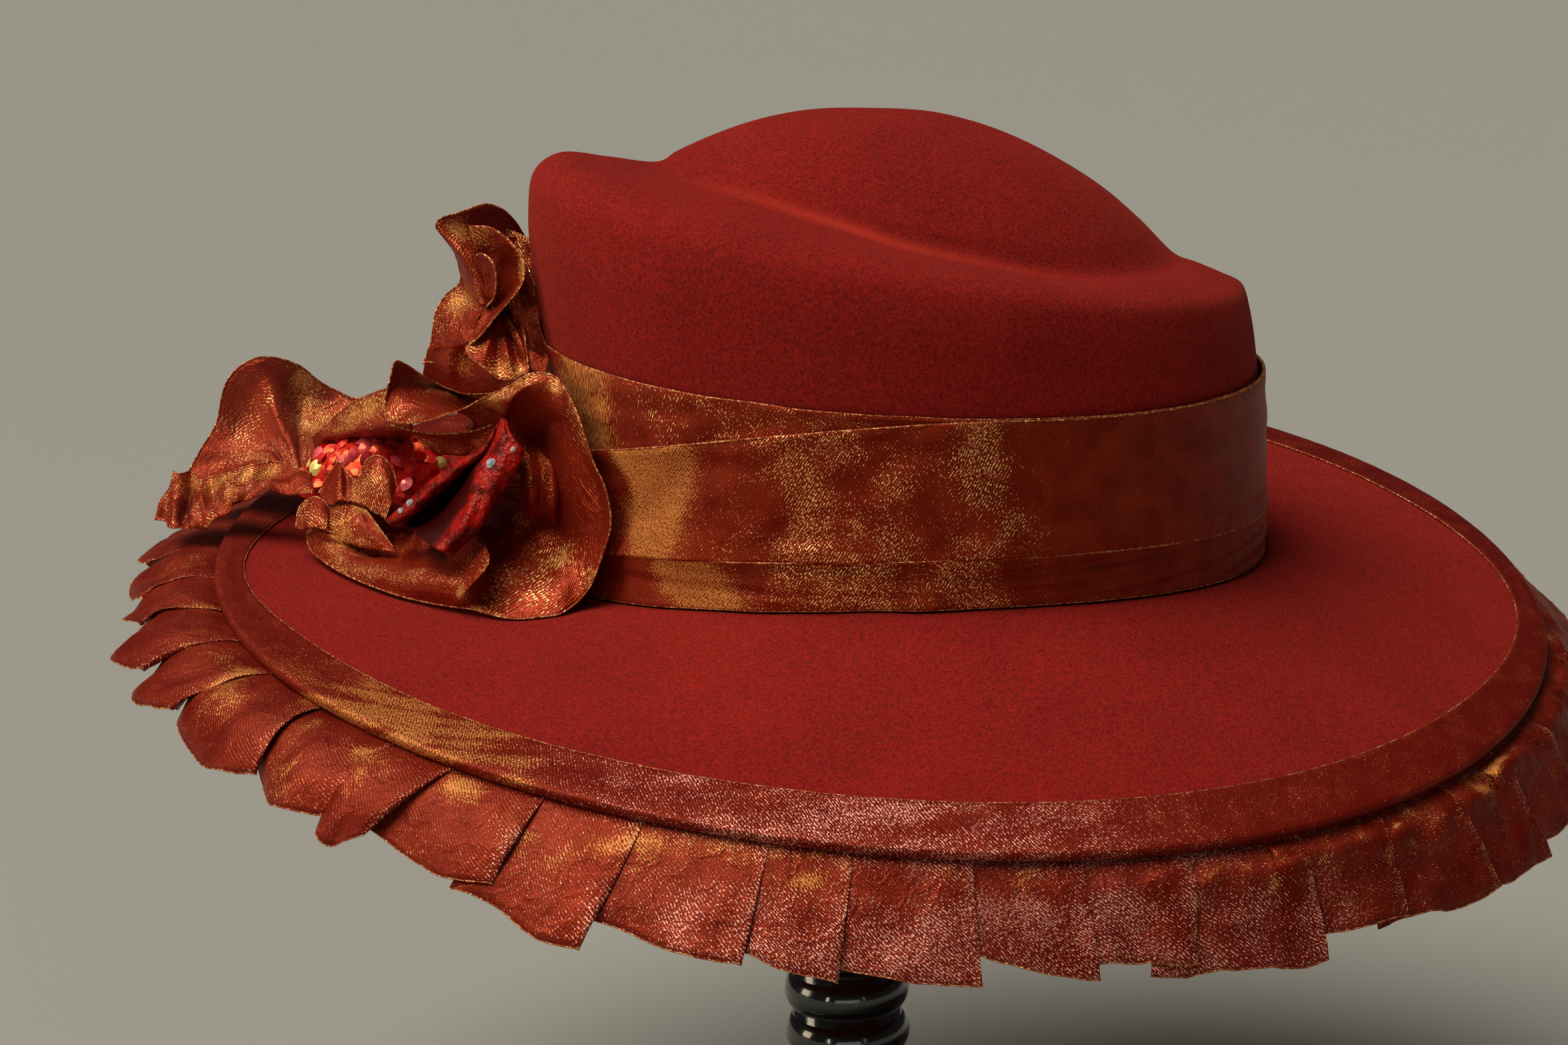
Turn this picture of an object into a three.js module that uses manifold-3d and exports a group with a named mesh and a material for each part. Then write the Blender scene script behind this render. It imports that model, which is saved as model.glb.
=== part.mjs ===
// A felt dress hat trimmed with organza ribbon, standing on a turned hat stand. Millimetres, +Z up.
// The origin is on the stand's axis at the floor. +X runs along the hat's length, away from the flowers.
import * as THREE from 'three';
import { mergeVertices } from 'three/addons/utils/BufferGeometryUtils.js';
import loadManifold from 'manifold-3d';

// Places: the hat's own origin is the middle of the crown's foot.
const CROWN_FOOT_HEIGHT = 225;
const CROWN_FROM_POST = 20;

// Walls, the gap that sewn pieces keep, and the steps round the hat.
const FELT = 2;
const RIBBON = 1;
const SEAM = 0.4;
const COLUMNS = 52;

// Crown wall: share of the rise from foot to shoulder, half lengths towards -X and +X, half width.
const CROWN_WALL = [
  { rise: 0.0, left: 104.0, right: 104.0, side: 90.0 },
  { rise: 0.3, left: 102.5, right: 104.3, side: 89.0 },
  { rise: 0.52, left: 102.3, right: 104.0, side: 88.2 },
  { rise: 0.72, left: 104.8, right: 102.7, side: 86.8 },
  { rise: 0.87, left: 105.2, right: 101.0, side: 85.0 },
  { rise: 0.96, left: 103.2, right: 98.7, side: 81.5 },
  { rise: 1.0, left: 96.0, right: 93.0, side: 75.0 },
];
const FOOT_END_DIP = 8;
// Shoulder and crease: both slope down towards +X, and drop on the far side.
const SHOULDER = { middle: 93, slope: 19.75, farDrop: 20 };
const CREASE = { left: 68, right: 79, side: 53, middle: 94.5, slope: 15, bow: 8, farDrop: 10 };
const SHELF_SHARE = 0.5;
const DOME = { x: -10, height: 123, fullness: 2.3, rings: [0.9, 0.74, 0.52, 0.27] };

// Brim: half length and width of its edge, the shift of its middle, and the heights of its edge.
const BRIM = { length: 192.5, side: 181, shift: -7, middle: -15.8, slopeX: -14.6, slopeY: 20.2, twist: 3.1 };
const BRIM_ROLL = 1.25;
const BRIM_SHARES = [0, 0.28, 0.56, 0.83, 1];
const BINDING_SHARE = 0.83;
const BINDING_BULGE = 1.6;

// Band: its top edge, its two folds and how far each part stands off the crown.
const BAND = { top: 54, slope: 8, lowerFold: 15, upperFoldLeast: 2, upperFoldMost: 28, foldStep: 0.6 };
const BAND_STAND_OFF = { foot: 1.4, underLower: 1.7, panel: 2.5, underUpper: 2.6, overUpper: 1.9, top: 1.5 };
const BAND_REACH = 3.4;

// Ruffle: knife pleats that rise from one fold to the next and step back, hanging below the brim's own slope.
// A row is a line of the ribbon: its distance from the edge, its level at the start and at the fold of a pleat.
const RUFFLE = { pleats: 42, drop: 28, step: 0.1, seamShare: 0.96, seamRise: 1, flare: 0.9 };
const RUFFLE_ROWS = [
  { run: 29, low: -2.5, high: 4.0, longer: 2 },
  { run: 15, low: -1.6, high: 2.0, longer: 0 },
  { run: 2, low: -1.6, high: 0.0, longer: 0 },
];

// Flowers: each is a wired ribbon gathered on a small oval and wound round it by `turns`. A row of `edge` is a
// point of its wired edge on the outer turn, and swell is how far the ribbon stands off the straight line
// between gathers and edge there. The inner turn is a smaller copy, lifted along the axis.
const FLOWER_SHARES = [1, 0.55, 0.06];
const FLOWER_COLUMNS_A_TURN = 30;
const FLOWER_INNER = { reach: 0.55, gather: 0.5, rise: 1.5, change: 0.16 };
const FLOWER_RIPPLE = { outer: 1.6, inner: 2.6, gathers: 8 };
const FLOWER_FRONT = {
  turns: 0.97,
  lift: 0,
  gather: { x: -123, y: -25, z: -1, long: 10, short: 6 },
  axis: [-0.35, -0.35, 0.87],
  edge: [
    { x: -90, y: -57, z: -1, swell: 7 },
    { x: -82, y: -64, z: 18, swell: 3 },
    { x: -86, y: -58, z: 38, swell: 0 },
    { x: -96, y: -44, z: 57, swell: 2 },
    { x: -111, y: -30, z: 51, swell: 3 },
    { x: -124, y: -18, z: 48, swell: 2 },
    { x: -136, y: -10, z: 51, swell: 4 },
    { x: -147, y: -5, z: 52, swell: 2 },
    { x: -150, y: -4, z: 36, swell: 3 },
    { x: -153, y: -3, z: 22, swell: 5 },
    { x: -163, y: -2, z: 15, swell: 7 },
    { x: -171, y: 0, z: 11, swell: 8 },
    { x: -176, y: -1, z: 2, swell: 9 },
    { x: -171, y: -9, z: 1, swell: 7 },
    { x: -161, y: -21, z: 0, swell: 6 },
    { x: -150, y: -36, z: -1.5, swell: 5 },
    { x: -128, y: -53, z: -2.5, swell: 7 },
    { x: -112, y: -67, z: -2.5, swell: 7 },
    { x: -99, y: -71, z: -2, swell: 8 },
  ],
};
const FLOWER_SIDE = {
  turns: 1.85,
  lift: 9,
  gather: { x: -110, y: -3, z: 73, long: 9, short: 6 },
  axis: [-1, 0, 0],
  edge: [
    { x: -119, y: -30, z: 56, swell: 2 },
    { x: -111, y: -28, z: 72, swell: 2 },
    { x: -110, y: -23, z: 86, swell: 2 },
    { x: -124, y: -14, z: 93, swell: 3 },
    { x: -136, y: -5, z: 94, swell: 2 },
    { x: -126, y: 4, z: 98, swell: 2 },
    { x: -113, y: 13, z: 92, swell: 3 },
    { x: -123, y: 24, z: 82, swell: 2 },
    { x: -113, y: 27, z: 68, swell: 2 },
    { x: -128, y: 18, z: 53, swell: 2 },
    { x: -141, y: 2, z: 54, swell: 3 },
    { x: -139, y: -14, z: 54, swell: 3 },
  ],
};
const FLOWER_BACK = {
  turns: 1.85,
  lift: 12,
  gather: { x: -170, y: 32, z: 2, long: 8, short: 7 },
  axis: [0, 0, 1],
  edge: [
    { x: -141, y: 20, z: 27, swell: 3 },
    { x: -146, y: 42, z: 30, swell: 2 },
    { x: -165, y: 54, z: 29, swell: 3 },
    { x: -183, y: 56, z: 39, swell: 2 },
    { x: -199, y: 52, z: 41, swell: 2 },
    { x: -206, y: 46, z: 30, swell: 3 },
    { x: -215, y: 36, z: 12, swell: 5 },
    { x: -219, y: 23, z: 8, swell: 6 },
    { x: -213, y: 15, z: 8, swell: 6 },
    { x: -197, y: 14, z: 18, swell: 5 },
    { x: -180, y: 12, z: 14, swell: 5 },
    { x: -166, y: 13, z: 17, swell: 4 },
    { x: -152, y: 11, z: 23, swell: 3 },
  ],
};

// Red leaf: a petal folded into a funnel, from its tip to the two ends of its mouth.
const LEAF = {
  wall: 1.2,
  tip: [-112, -38, 43],
  mouthLeft: [-146, -23, 15],
  mouthBack: [-131, -25, 12],
  mouthRight: [-128, -42, 9],
  tipSpread: 0.1,
  columns: 8,
  rows: 4,
};
const STONE = { radius: 2, tableShare: 0.55, crown: 1.1, pavilion: 1.6, facets: 8 };
// Stones on the leaf: place across the mouth and along from the tip, as shares.
const LEAF_STONES = [
  { across: 0.97, along: 0.3, size: 1 },
  { across: 0.86, along: 0.22, size: 0.6 },
  { across: 0.04, along: 0.72, size: 0.8 },
];

// Sequin cluster: overlapping tilted discs on a low mound. A ring is a share of the mound's radius and height.
const CLUSTER = { x: -160, y: 28, z: 60, radius: 15, height: 9, sides: 10, waistShare: 0.8, waistHeight: 0.6 };
const SEQUIN = { radius: 5, thick: 0.9, sides: 6, tilt: 28 };
const SEQUIN_RINGS = [
  { count: 6, share: 0.72, height: 0.62 },
  { count: 3, share: 0.34, height: 0.98 },
];

// Stand: round foot, post of beads with a plain neck, and domed cap.
const STAND = { sides: 16, footRadius: 76, footEdge: 8, footRise: 22, beadRadius: 18.8, waistRadius: 16.6 };
const BEADS = { count: 13, pitch: 13.4, low: 0.3, high: 0.7 };
const CAP = { radius: 40, ball: 62, edge: 5, clear: 0.5, rings: [1, 0.75, 0.45, 0.2] };

const FELT_RED = 0x8f1c16;
const ORGANZA = 0x9c4a2c;
const LEAF_RED = 0xa01218;
const SEQUIN_RED = 0xc01830;
const STAND_BLACK = 0x0a0909;
const DOWN = [0, 0, -1];
const TO_CROWN = [1, 0, 0];
const DEGREE = Math.PI / 180;
const wasm = await loadManifold();
wasm.setup();

const lerp = THREE.MathUtils.lerp;

// Solid from loops of points, each joined to the next and the last to the first.
function loopSolid(loops) {
  const count = loops[0].length;
  const triangles = [];
  loops.forEach((loop, row) => {
    const next = loops[(row + 1) % loops.length];
    for (let i = 0; i < count; i++) {
      const j = (i + 1) % count;
      triangles.push(loop[i], loop[j], next[j]);
      triangles.push(loop[i], next[j], next[i]);
    }
  });
  return fromTriangles(triangles);
}

function fromTriangles(points) {
  const geometry = new THREE.BufferGeometry().setFromPoints(points);
  return mergeVertices(geometry, 1e-4);
}

// Closed wall between the two sides of a sheet, each a grid of points with the same rows and columns.
// A ring's last column joins its first one.
function sheetSolid(front, back, ring = false) {
  const triangles = [];
  const square = (p, q, r, t) => triangles.push(p, q, r, p, r, t);
  const count = front[0].length;
  const steps = ring ? count : count - 1;
  const last = front.length - 1;
  for (let i = 0; i < steps; i++) {
    const j = (i + 1) % count;
    for (let row = 0; row < last; row++) {
      square(front[row][i], front[row][j], front[row + 1][j], front[row + 1][i]);
      square(back[row][i], back[row + 1][i], back[row + 1][j], back[row][j]);
    }
    square(back[0][i], back[0][j], front[0][j], front[0][i]);
    square(front[last][i], front[last][j], back[last][j], back[last][i]);
  }
  for (let row = 0; row < last && !ring; row++) {
    square(back[row][0], front[row][0], front[row + 1][0], back[row + 1][0]);
    square(front[row][steps], back[row][steps], back[row + 1][steps], front[row + 1][steps]);
  }
  return fromTriangles(triangles);
}

// Unit normals of a grid of closed loops; `pole` ends the grid in one point.
function gridNormals(loops, pole) {
  return loops.map((loop, row) => loop.map((point, i) => {
    const count = loop.length;
    const along = loop[(i + 1) % count].clone().sub(loop[(i + count - 1) % count]);
    const after = row + 1 < loops.length ? loops[row + 1][i] : pole ?? point;
    const before = row > 0 ? loops[row - 1][i] : point;
    return along.cross(after.clone().sub(before)).normalize();
  }));
}

function offsetLoops(loops, normals, distance) {
  return loops.map((loop, row) => loop.map((point, i) => {
    return point.clone().addScaledVector(normals[row][i], distance);
  }));
}

function columnAngles(count) {
  return Array.from({ length: count }, (_, i) => (i / count) * 2 * Math.PI);
}

// Crown: heights of its foot, shoulder and crease by angle, anticlockwise from +X.
function footHeight(angle) {
  return -FOOT_END_DIP * Math.cos(angle) ** 2;
}

function farSide(angle) {
  return Math.max(0, Math.sin(angle));
}

function shoulderHeight(angle) {
  return SHOULDER.middle - SHOULDER.slope * Math.cos(angle) - SHOULDER.farDrop * farSide(angle);
}

function creaseHeight(angle) {
  const slope = CREASE.slope + CREASE.bow * Math.sin(angle) ** 2;
  return CREASE.middle - slope * Math.cos(angle) - CREASE.farDrop * farSide(angle);
}

// A point of an oval with its own half lengths towards -X and +X.
function ovalPoint(oval, angle, height) {
  const half = Math.cos(angle) < 0 ? oval.left : oval.right;
  return new THREE.Vector3(half * Math.cos(angle), oval.side * Math.sin(angle), height);
}

function wallHeight(angle, rise) {
  return lerp(footHeight(angle), shoulderHeight(angle), rise);
}

// A point on the crown's wall, by height, standing off it by `distance`.
function wallPoint(angle, height, distance) {
  const rise = (height - footHeight(angle)) / (shoulderHeight(angle) - footHeight(angle));
  const upper = Math.max(1, CROWN_WALL.findIndex((row) => row.rise >= rise));
  const a = CROWN_WALL[upper - 1];
  const b = CROWN_WALL[upper];
  const share = (rise - a.rise) / (b.rise - a.rise);
  const oval = {
    left: lerp(a.left, b.left, share),
    right: lerp(a.right, b.right, share),
    side: lerp(a.side, b.side, share),
  };
  const half = Math.cos(angle) < 0 ? oval.left : oval.right;
  const out = new THREE.Vector3(Math.cos(angle) / half, Math.sin(angle) / oval.side, 0).normalize();
  return ovalPoint(oval, angle, height).addScaledVector(out, distance);
}

function crownSurface() {
  const angles = columnAngles(COLUMNS);
  const wall = CROWN_WALL.map((row) => angles.map((angle) => {
    const drop = row.rise === 0 ? FELT : 0;
    return ovalPoint(row, angle, wallHeight(angle, row.rise) - drop);
  }));
  const crest = wall[wall.length - 1];
  const crease = angles.map((angle) => ovalPoint(CREASE, angle, creaseHeight(angle)));
  const shelf = crest.map((point, i) => point.clone().lerp(crease[i], SHELF_SHARE));
  const apex = new THREE.Vector3(DOME.x, 0, DOME.height);
  const dome = DOME.rings.map((share) => crease.map((point) => {
    const ring = apex.clone().lerp(point, share);
    ring.z = lerp(point.z, apex.z, 1 - share ** DOME.fullness);
    return ring;
  }));
  return { loops: [...wall, shelf, crease, ...dome], apex };
}

function poleFan(loop, pole, outward) {
  return loop.flatMap((point, i) => {
    const next = loop[(i + 1) % loop.length];
    return outward ? [point, next, pole] : [next, point, pole];
  });
}

function bandOfTriangles(low, high) {
  return low.flatMap((point, i) => {
    const j = (i + 1) % low.length;
    return [point, low[j], high[j], point, high[j], high[i]];
  });
}

function crownGeometry(outer, inner, outerApex, innerApex) {
  const triangles = [];
  for (let row = 0; row + 1 < outer.length; row++) {
    triangles.push(...bandOfTriangles(outer[row], outer[row + 1]));
    triangles.push(...bandOfTriangles(inner[row + 1], inner[row]));
  }
  triangles.push(...poleFan(outer[outer.length - 1], outerApex, true));
  triangles.push(...poleFan(inner[inner.length - 1], innerApex, false));
  triangles.push(...bandOfTriangles(inner[0], outer[0]));
  return fromTriangles(triangles);
}

function innerCrown(surface) {
  const normals = gridNormals(surface.loops, surface.apex);
  const inner = offsetLoops(surface.loops, normals, -FELT);
  inner[0].forEach((point, i) => {
    point.z = surface.loops[0][i].z;
  });
  const apex = surface.apex.clone();
  apex.z -= FELT;
  return { loops: inner, apex };
}

// Brim: its top surface by angle and by share of the way from the crown to the edge.
function edgeHeight(angle) {
  const slope = BRIM.slopeX * Math.cos(angle) + BRIM.slopeY * Math.sin(angle);
  return BRIM.middle + slope + BRIM.twist * Math.sin(2 * angle);
}

function brimOval(share) {
  const foot = CROWN_WALL[0];
  return {
    shift: BRIM.shift * share,
    length: lerp(foot.left + SEAM, BRIM.length, share),
    side: lerp(foot.side + SEAM, BRIM.side, share),
  };
}

function brimTop(angle, share) {
  const oval = brimOval(share);
  const height = lerp(footHeight(angle), edgeHeight(angle), share ** BRIM_ROLL);
  return new THREE.Vector3(oval.shift + oval.length * Math.cos(angle), oval.side * Math.sin(angle), height);
}

// Directions on the brim: `out` to the edge and `up` off its top.
function brimFrame(angle, share) {
  const nudge = 0.01;
  const out = brimTop(angle, share + nudge).sub(brimTop(angle, Math.max(0, share - nudge))).normalize();
  const along = brimTop(angle + nudge, share).sub(brimTop(angle - nudge, share)).normalize();
  const up = out.clone().cross(along).normalize();
  return { out: along.clone().cross(up).normalize(), up };
}

function offBrim(angle, share, up, out = 0) {
  const frame = brimFrame(angle, share);
  return brimTop(angle, share).addScaledVector(frame.up, up).addScaledVector(frame.out, out);
}

// Height of the brim's top under a point of the plan.
function brimHeightUnder(x, y) {
  let low = 0;
  let high = 1.3;
  for (let step = 0; step < 30; step++) {
    const share = (low + high) / 2;
    const oval = brimOval(share);
    const outside = Math.hypot((x - oval.shift) / oval.length, y / oval.side) > 1;
    if (outside) low = share;
    else high = share;
  }
  const oval = brimOval(low);
  const angle = Math.atan2(y / oval.side, (x - oval.shift) / oval.length);
  const bound = low > BINDING_SHARE - 0.05 ? RIBBON + 2 * SEAM : 0;
  return brimTop(angle, low).z + bound;
}

function brimGeometry() {
  const angles = columnAngles(COLUMNS);
  const outward = [...BRIM_SHARES].reverse();
  const top = outward.map((share) => angles.map((angle) => brimTop(angle, share)));
  const under = BRIM_SHARES.map((share) => angles.map((angle) => {
    const point = offBrim(angle, share, -FELT);
    if (share === 0) {
      const foot = brimTop(angle, 0);
      point.set(foot.x, foot.y, foot.z - FELT);
    }
    return point;
  }));
  return loopSolid([...top, ...under]);
}

// Binding: one ribbon from the top of the brim, round its edge, to the underside.
function bindingGeometry() {
  const middle = -FELT / 2;
  const clear = FELT / 2 + SEAM;
  const skin = clear + RIBBON;
  const section = [
    { share: BINDING_SHARE, up: middle - skin, out: 0 },
    { share: 1, up: middle - skin, out: 0 },
    { share: 1, up: middle, out: BINDING_BULGE },
    { share: 1, up: middle + skin, out: 0 },
    { share: BINDING_SHARE, up: middle + skin, out: 0 },
    { share: BINDING_SHARE, up: middle + clear, out: 0 },
    { share: 1, up: middle + clear, out: SEAM },
    { share: 1, up: middle - clear, out: SEAM },
    { share: BINDING_SHARE, up: middle - clear, out: 0 },
  ];
  const angles = columnAngles(COLUMNS);
  return loopSolid(section.map(({ share, up, out }) => angles.map((angle) => offBrim(angle, share, up, out))));
}

// Band: its outer side steps at the two folds, and its inner side follows the crown.
function bandGeometry() {
  const angles = columnAngles(COLUMNS);
  const top = (angle) => BAND.top - BAND.slope * Math.cos(angle);
  const lower = (angle) => footHeight(angle) + BAND.lowerFold;
  const upper = (angle) => {
    const towardFlowers = (1 - Math.cos(angle)) / 2;
    return top(angle) - BAND.upperFoldLeast - BAND.upperFoldMost * towardFlowers ** 3;
  };
  const foot = (angle) => footHeight(angle) + SEAM;
  const rows = [
    { height: foot, off: BAND_STAND_OFF.foot },
    { height: lower, off: BAND_STAND_OFF.underLower },
    { height: (angle) => lower(angle) + BAND.foldStep, off: BAND_STAND_OFF.panel },
    { height: upper, off: BAND_STAND_OFF.underUpper },
    { height: (angle) => upper(angle) + BAND.foldStep, off: BAND_STAND_OFF.overUpper },
    { height: top, off: BAND_STAND_OFF.top },
    { height: top, off: SEAM },
    { height: (angle) => wallHeight(angle, CROWN_WALL[2].rise), off: SEAM },
    { height: (angle) => wallHeight(angle, CROWN_WALL[1].rise), off: SEAM },
    { height: foot, off: SEAM },
  ];
  return loopSolid(rows.map(({ height, off }) => angles.map((angle) => wallPoint(angle, height(angle), off))));
}

// Ruffle: two columns for each pleat, at its hidden start and at the fold that ends it.
function ruffleGeometry() {
  const drop = RUFFLE.drop * DEGREE;
  const underside = -(FELT + RIBBON + 3 * SEAM);
  const columns = [];
  for (let pleat = 0; pleat < RUFFLE.pleats; pleat++) {
    columns.push({ turn: pleat, rise: 0 });
    columns.push({ turn: pleat + 1 - RUFFLE.step, rise: 1 });
  }
  const angleOf = (column) => (column.turn / RUFFLE.pleats) * 2 * Math.PI;
  const hanging = (column, run, up) => {
    const { out, up: off } = brimFrame(angleOf(column), 1);
    const down = out.clone().multiplyScalar(Math.cos(drop)).addScaledVector(off, -Math.sin(drop));
    const face = off.clone().multiplyScalar(Math.cos(drop)).addScaledVector(out, Math.sin(drop));
    return offBrim(angleOf(column), 1, underside).addScaledVector(down, run).addScaledVector(face, up);
  };
  const layer = (skin) => {
    const rows = RUFFLE_ROWS.map(({ run, low, high, longer }) => columns.map((column) => {
      const flowerEnd = Math.max(0, -Math.cos(angleOf(column)));
      const level = lerp(low, high, column.rise) * (1 + RUFFLE.flare * flowerEnd ** 2);
      return hanging(column, run + longer * column.rise, level + skin);
    }));
    const seam = columns.map((column) => {
      return offBrim(angleOf(column), RUFFLE.seamShare, underside + skin + RUFFLE.seamRise * (column.rise - 1));
    });
    return [...rows, seam];
  };
  return sheetSolid(layer(0), layer(-RIBBON), true);
}

// Moves a point off the band and up off the brim.
function clearOfHat(point, gap) {
  const foot = CROWN_WALL[0];
  const inside = Math.hypot(point.x / (foot.left + BAND_REACH), point.y / (foot.side + BAND_REACH));
  if (inside < 1) {
    point.x /= inside;
    point.y /= inside;
  }
  point.z = Math.max(point.z, brimHeightUnder(point.x, point.y) + gap);
  return point;
}

// Unit normals of an open grid, on the side from which its rows run left to right and then up.
function sheetNormals(rows) {
  return rows.map((line, row) => line.map((point, i) => {
    const along = line[Math.min(i + 1, line.length - 1)].clone().sub(line[Math.max(i - 1, 0)]);
    const up = rows[Math.min(row + 1, rows.length - 1)][i].clone().sub(rows[Math.max(row - 1, 0)][i]);
    return along.cross(up).normalize();
  }));
}

// Flower: ribbon between an oval of gathers and its wired edge, from the outer turn to the inner one.
function flowerGeometry({ turns, lift, gather, axis: axisAt, edge }) {
  const wire = new THREE.CatmullRomCurve3(edge.map(({ x, y, z }) => new THREE.Vector3(x, y, z)), true);
  const axis = new THREE.Vector3(...axisAt).normalize();
  const centre = new THREE.Vector3(gather.x, gather.y, gather.z);
  const first = wire.getPoint(0).sub(centre);
  const start = first.addScaledVector(axis, -first.dot(axis)).normalize();
  const across = axis.clone().cross(start);
  const swellAt = (share) => {
    const place = share * edge.length;
    const row = Math.floor(place);
    return lerp(edge[row % edge.length].swell, edge[(row + 1) % edge.length].swell, place - row);
  };
  const columns = Math.round(turns * FLOWER_COLUMNS_A_TURN);
  const places = Array.from({ length: columns + 1 }, (_, i) => (turns * i) / columns);
  const ribbonPoint = (place, out) => {
    const share = place % 1;
    const turn = share * 2 * Math.PI;
    const inner = THREE.MathUtils.smoothstep(place, 1 - FLOWER_INNER.change, 1 + FLOWER_INNER.change);
    const within = turns > 1 ? inner : 0;
    const size = lerp(1, FLOWER_INNER.gather, within);
    const foot = centre.clone().addScaledVector(axis, FLOWER_INNER.rise * within);
    foot.addScaledVector(start, size * gather.short * Math.cos(turn));
    foot.addScaledVector(across, size * gather.long * Math.sin(turn));
    const rim = centre.clone().lerp(wire.getPoint(share), lerp(1, FLOWER_INNER.reach, within));
    rim.addScaledVector(axis, lift * within);
    const height = lerp(FLOWER_RIPPLE.outer, FLOWER_RIPPLE.inner, within);
    const ripple = height * Math.sin(FLOWER_RIPPLE.gathers * turn);
    const arch = Math.sin(Math.PI * out) * (swellAt(share) * (1 - within) + ripple);
    return foot.lerp(rim, out).addScaledVector(axis, arch);
  };
  const rows = FLOWER_SHARES.map((out) => places.map((place) => ribbonPoint(place, out)));
  const normals = sheetNormals(rows);
  const front = offsetLoops(rows, normals, RIBBON / 2);
  const back = offsetLoops(rows, normals, -RIBBON / 2);
  front.flat().forEach((point) => clearOfHat(point, SEAM + RIBBON));
  back.flat().forEach((point) => clearOfHat(point, SEAM));
  return sheetSolid(front, back);
}

// Leaf: a sheet from a narrow tip to a mouth that bows back.
function leafPoint(across, along) {
  const mouth = new THREE.QuadraticBezierCurve3(
    new THREE.Vector3(...LEAF.mouthLeft),
    new THREE.Vector3(...LEAF.mouthBack),
    new THREE.Vector3(...LEAF.mouthRight),
  );
  const tip = new THREE.Vector3(...LEAF.tip);
  return tip.lerp(mouth.getPoint(across), lerp(LEAF.tipSpread, 1, along));
}

function leafNormal(across, along) {
  const nudge = 0.02;
  const low = Math.max(0, across - nudge);
  const high = Math.min(1, across + nudge);
  const wide = leafPoint(high, along).sub(leafPoint(low, along));
  const long = leafPoint(across, along + nudge).sub(leafPoint(across, along));
  return wide.cross(long).normalize();
}

function leafSheet() {
  const columns = Array.from({ length: LEAF.columns + 1 }, (_, i) => i / LEAF.columns);
  const rows = Array.from({ length: LEAF.rows + 1 }, (_, i) => i / LEAF.rows);
  const side = (distance) => rows.map((along) => columns.map((across) => {
    return leafPoint(across, along).addScaledVector(leafNormal(across, along), distance);
  }));
  return sheetSolid(side(LEAF.wall / 2), side(-LEAF.wall / 2));
}

// Cut stone on its setting point: flat table, one crown facet a side and a pavilion sunk in the leaf.
function stoneGeometry({ across, along, size }) {
  const radius = STONE.radius * size;
  const profile = [
    new THREE.Vector2(0, -STONE.pavilion * size),
    new THREE.Vector2(radius, 0),
    new THREE.Vector2(radius * STONE.tableShare, STONE.crown * size),
    new THREE.Vector2(0, STONE.crown * size),
  ];
  const stone = new THREE.LatheGeometry(profile, STONE.facets);
  const normal = leafNormal(across, along);
  stone.applyQuaternion(new THREE.Quaternion().setFromUnitVectors(new THREE.Vector3(0, 1, 0), normal));
  const seat = leafPoint(across, along).addScaledVector(normal, LEAF.wall / 2);
  stone.translate(seat.x, seat.y, seat.z);
  return stone;
}

function toSolid(geometry) {
  const bare = geometry.clone();
  bare.deleteAttribute('normal');
  bare.deleteAttribute('uv');
  const merged = mergeVertices(bare, 1e-4);
  return new wasm.Manifold(new wasm.Mesh({
    numProp: 3,
    vertProperties: new Float32Array(merged.attributes.position.array),
    triVerts: new Uint32Array(merged.index.array),
  }));
}

function fuse(geometries) {
  const solid = geometries.map(toSolid).reduce((sum, next) => sum.add(next));
  const mesh = solid.getMesh();
  const fused = new THREE.BufferGeometry();
  fused.setAttribute('position', new THREE.BufferAttribute(new Float32Array(mesh.vertProperties), 3));
  fused.setIndex(new THREE.BufferAttribute(new Uint32Array(mesh.triVerts), 1));
  return fused;
}

function leafGeometry() {
  return fuse([leafSheet(), ...LEAF_STONES.map(stoneGeometry)]);
}

function clusterGeometry() {
  const mound = new THREE.LatheGeometry([
    new THREE.Vector2(0, 0),
    new THREE.Vector2(CLUSTER.radius, 0),
    new THREE.Vector2(CLUSTER.radius * CLUSTER.waistShare, CLUSTER.height * CLUSTER.waistHeight),
    new THREE.Vector2(0, CLUSTER.height),
  ], CLUSTER.sides);
  mound.rotateX(Math.PI / 2);
  const sequins = SEQUIN_RINGS.flatMap(({ count, share, height }) => columnAngles(count).map((angle) => {
    const disc = new THREE.CylinderGeometry(SEQUIN.radius, SEQUIN.radius, SEQUIN.thick, SEQUIN.sides);
    disc.rotateX(Math.PI / 2);
    disc.rotateY(SEQUIN.tilt * DEGREE);
    disc.translate(CLUSTER.radius * share, 0, CLUSTER.height * height);
    disc.rotateZ(angle + share);
    return disc;
  }));
  const cluster = fuse([mound, ...sequins]);
  cluster.translate(CLUSTER.x, CLUSTER.y, CLUSTER.z);
  return cluster;
}

// Height of a surface's loops over the stand's cap: the cap rises until it is just under the crown.
function capTop(inner) {
  const sag = (point) => {
    const reach = Math.hypot(point.x + CROWN_FROM_POST, point.y);
    return reach < CAP.radius + FELT ? CAP.ball - Math.sqrt(CAP.ball ** 2 - reach ** 2) : null;
  };
  const heights = [...inner.loops.flat(), inner.apex].flatMap((point) => {
    const drop = sag(point);
    return drop === null || point.z < 0 ? [] : [point.z + drop];
  });
  return CROWN_FOOT_HEIGHT + Math.min(...heights) - CAP.clear;
}

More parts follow.
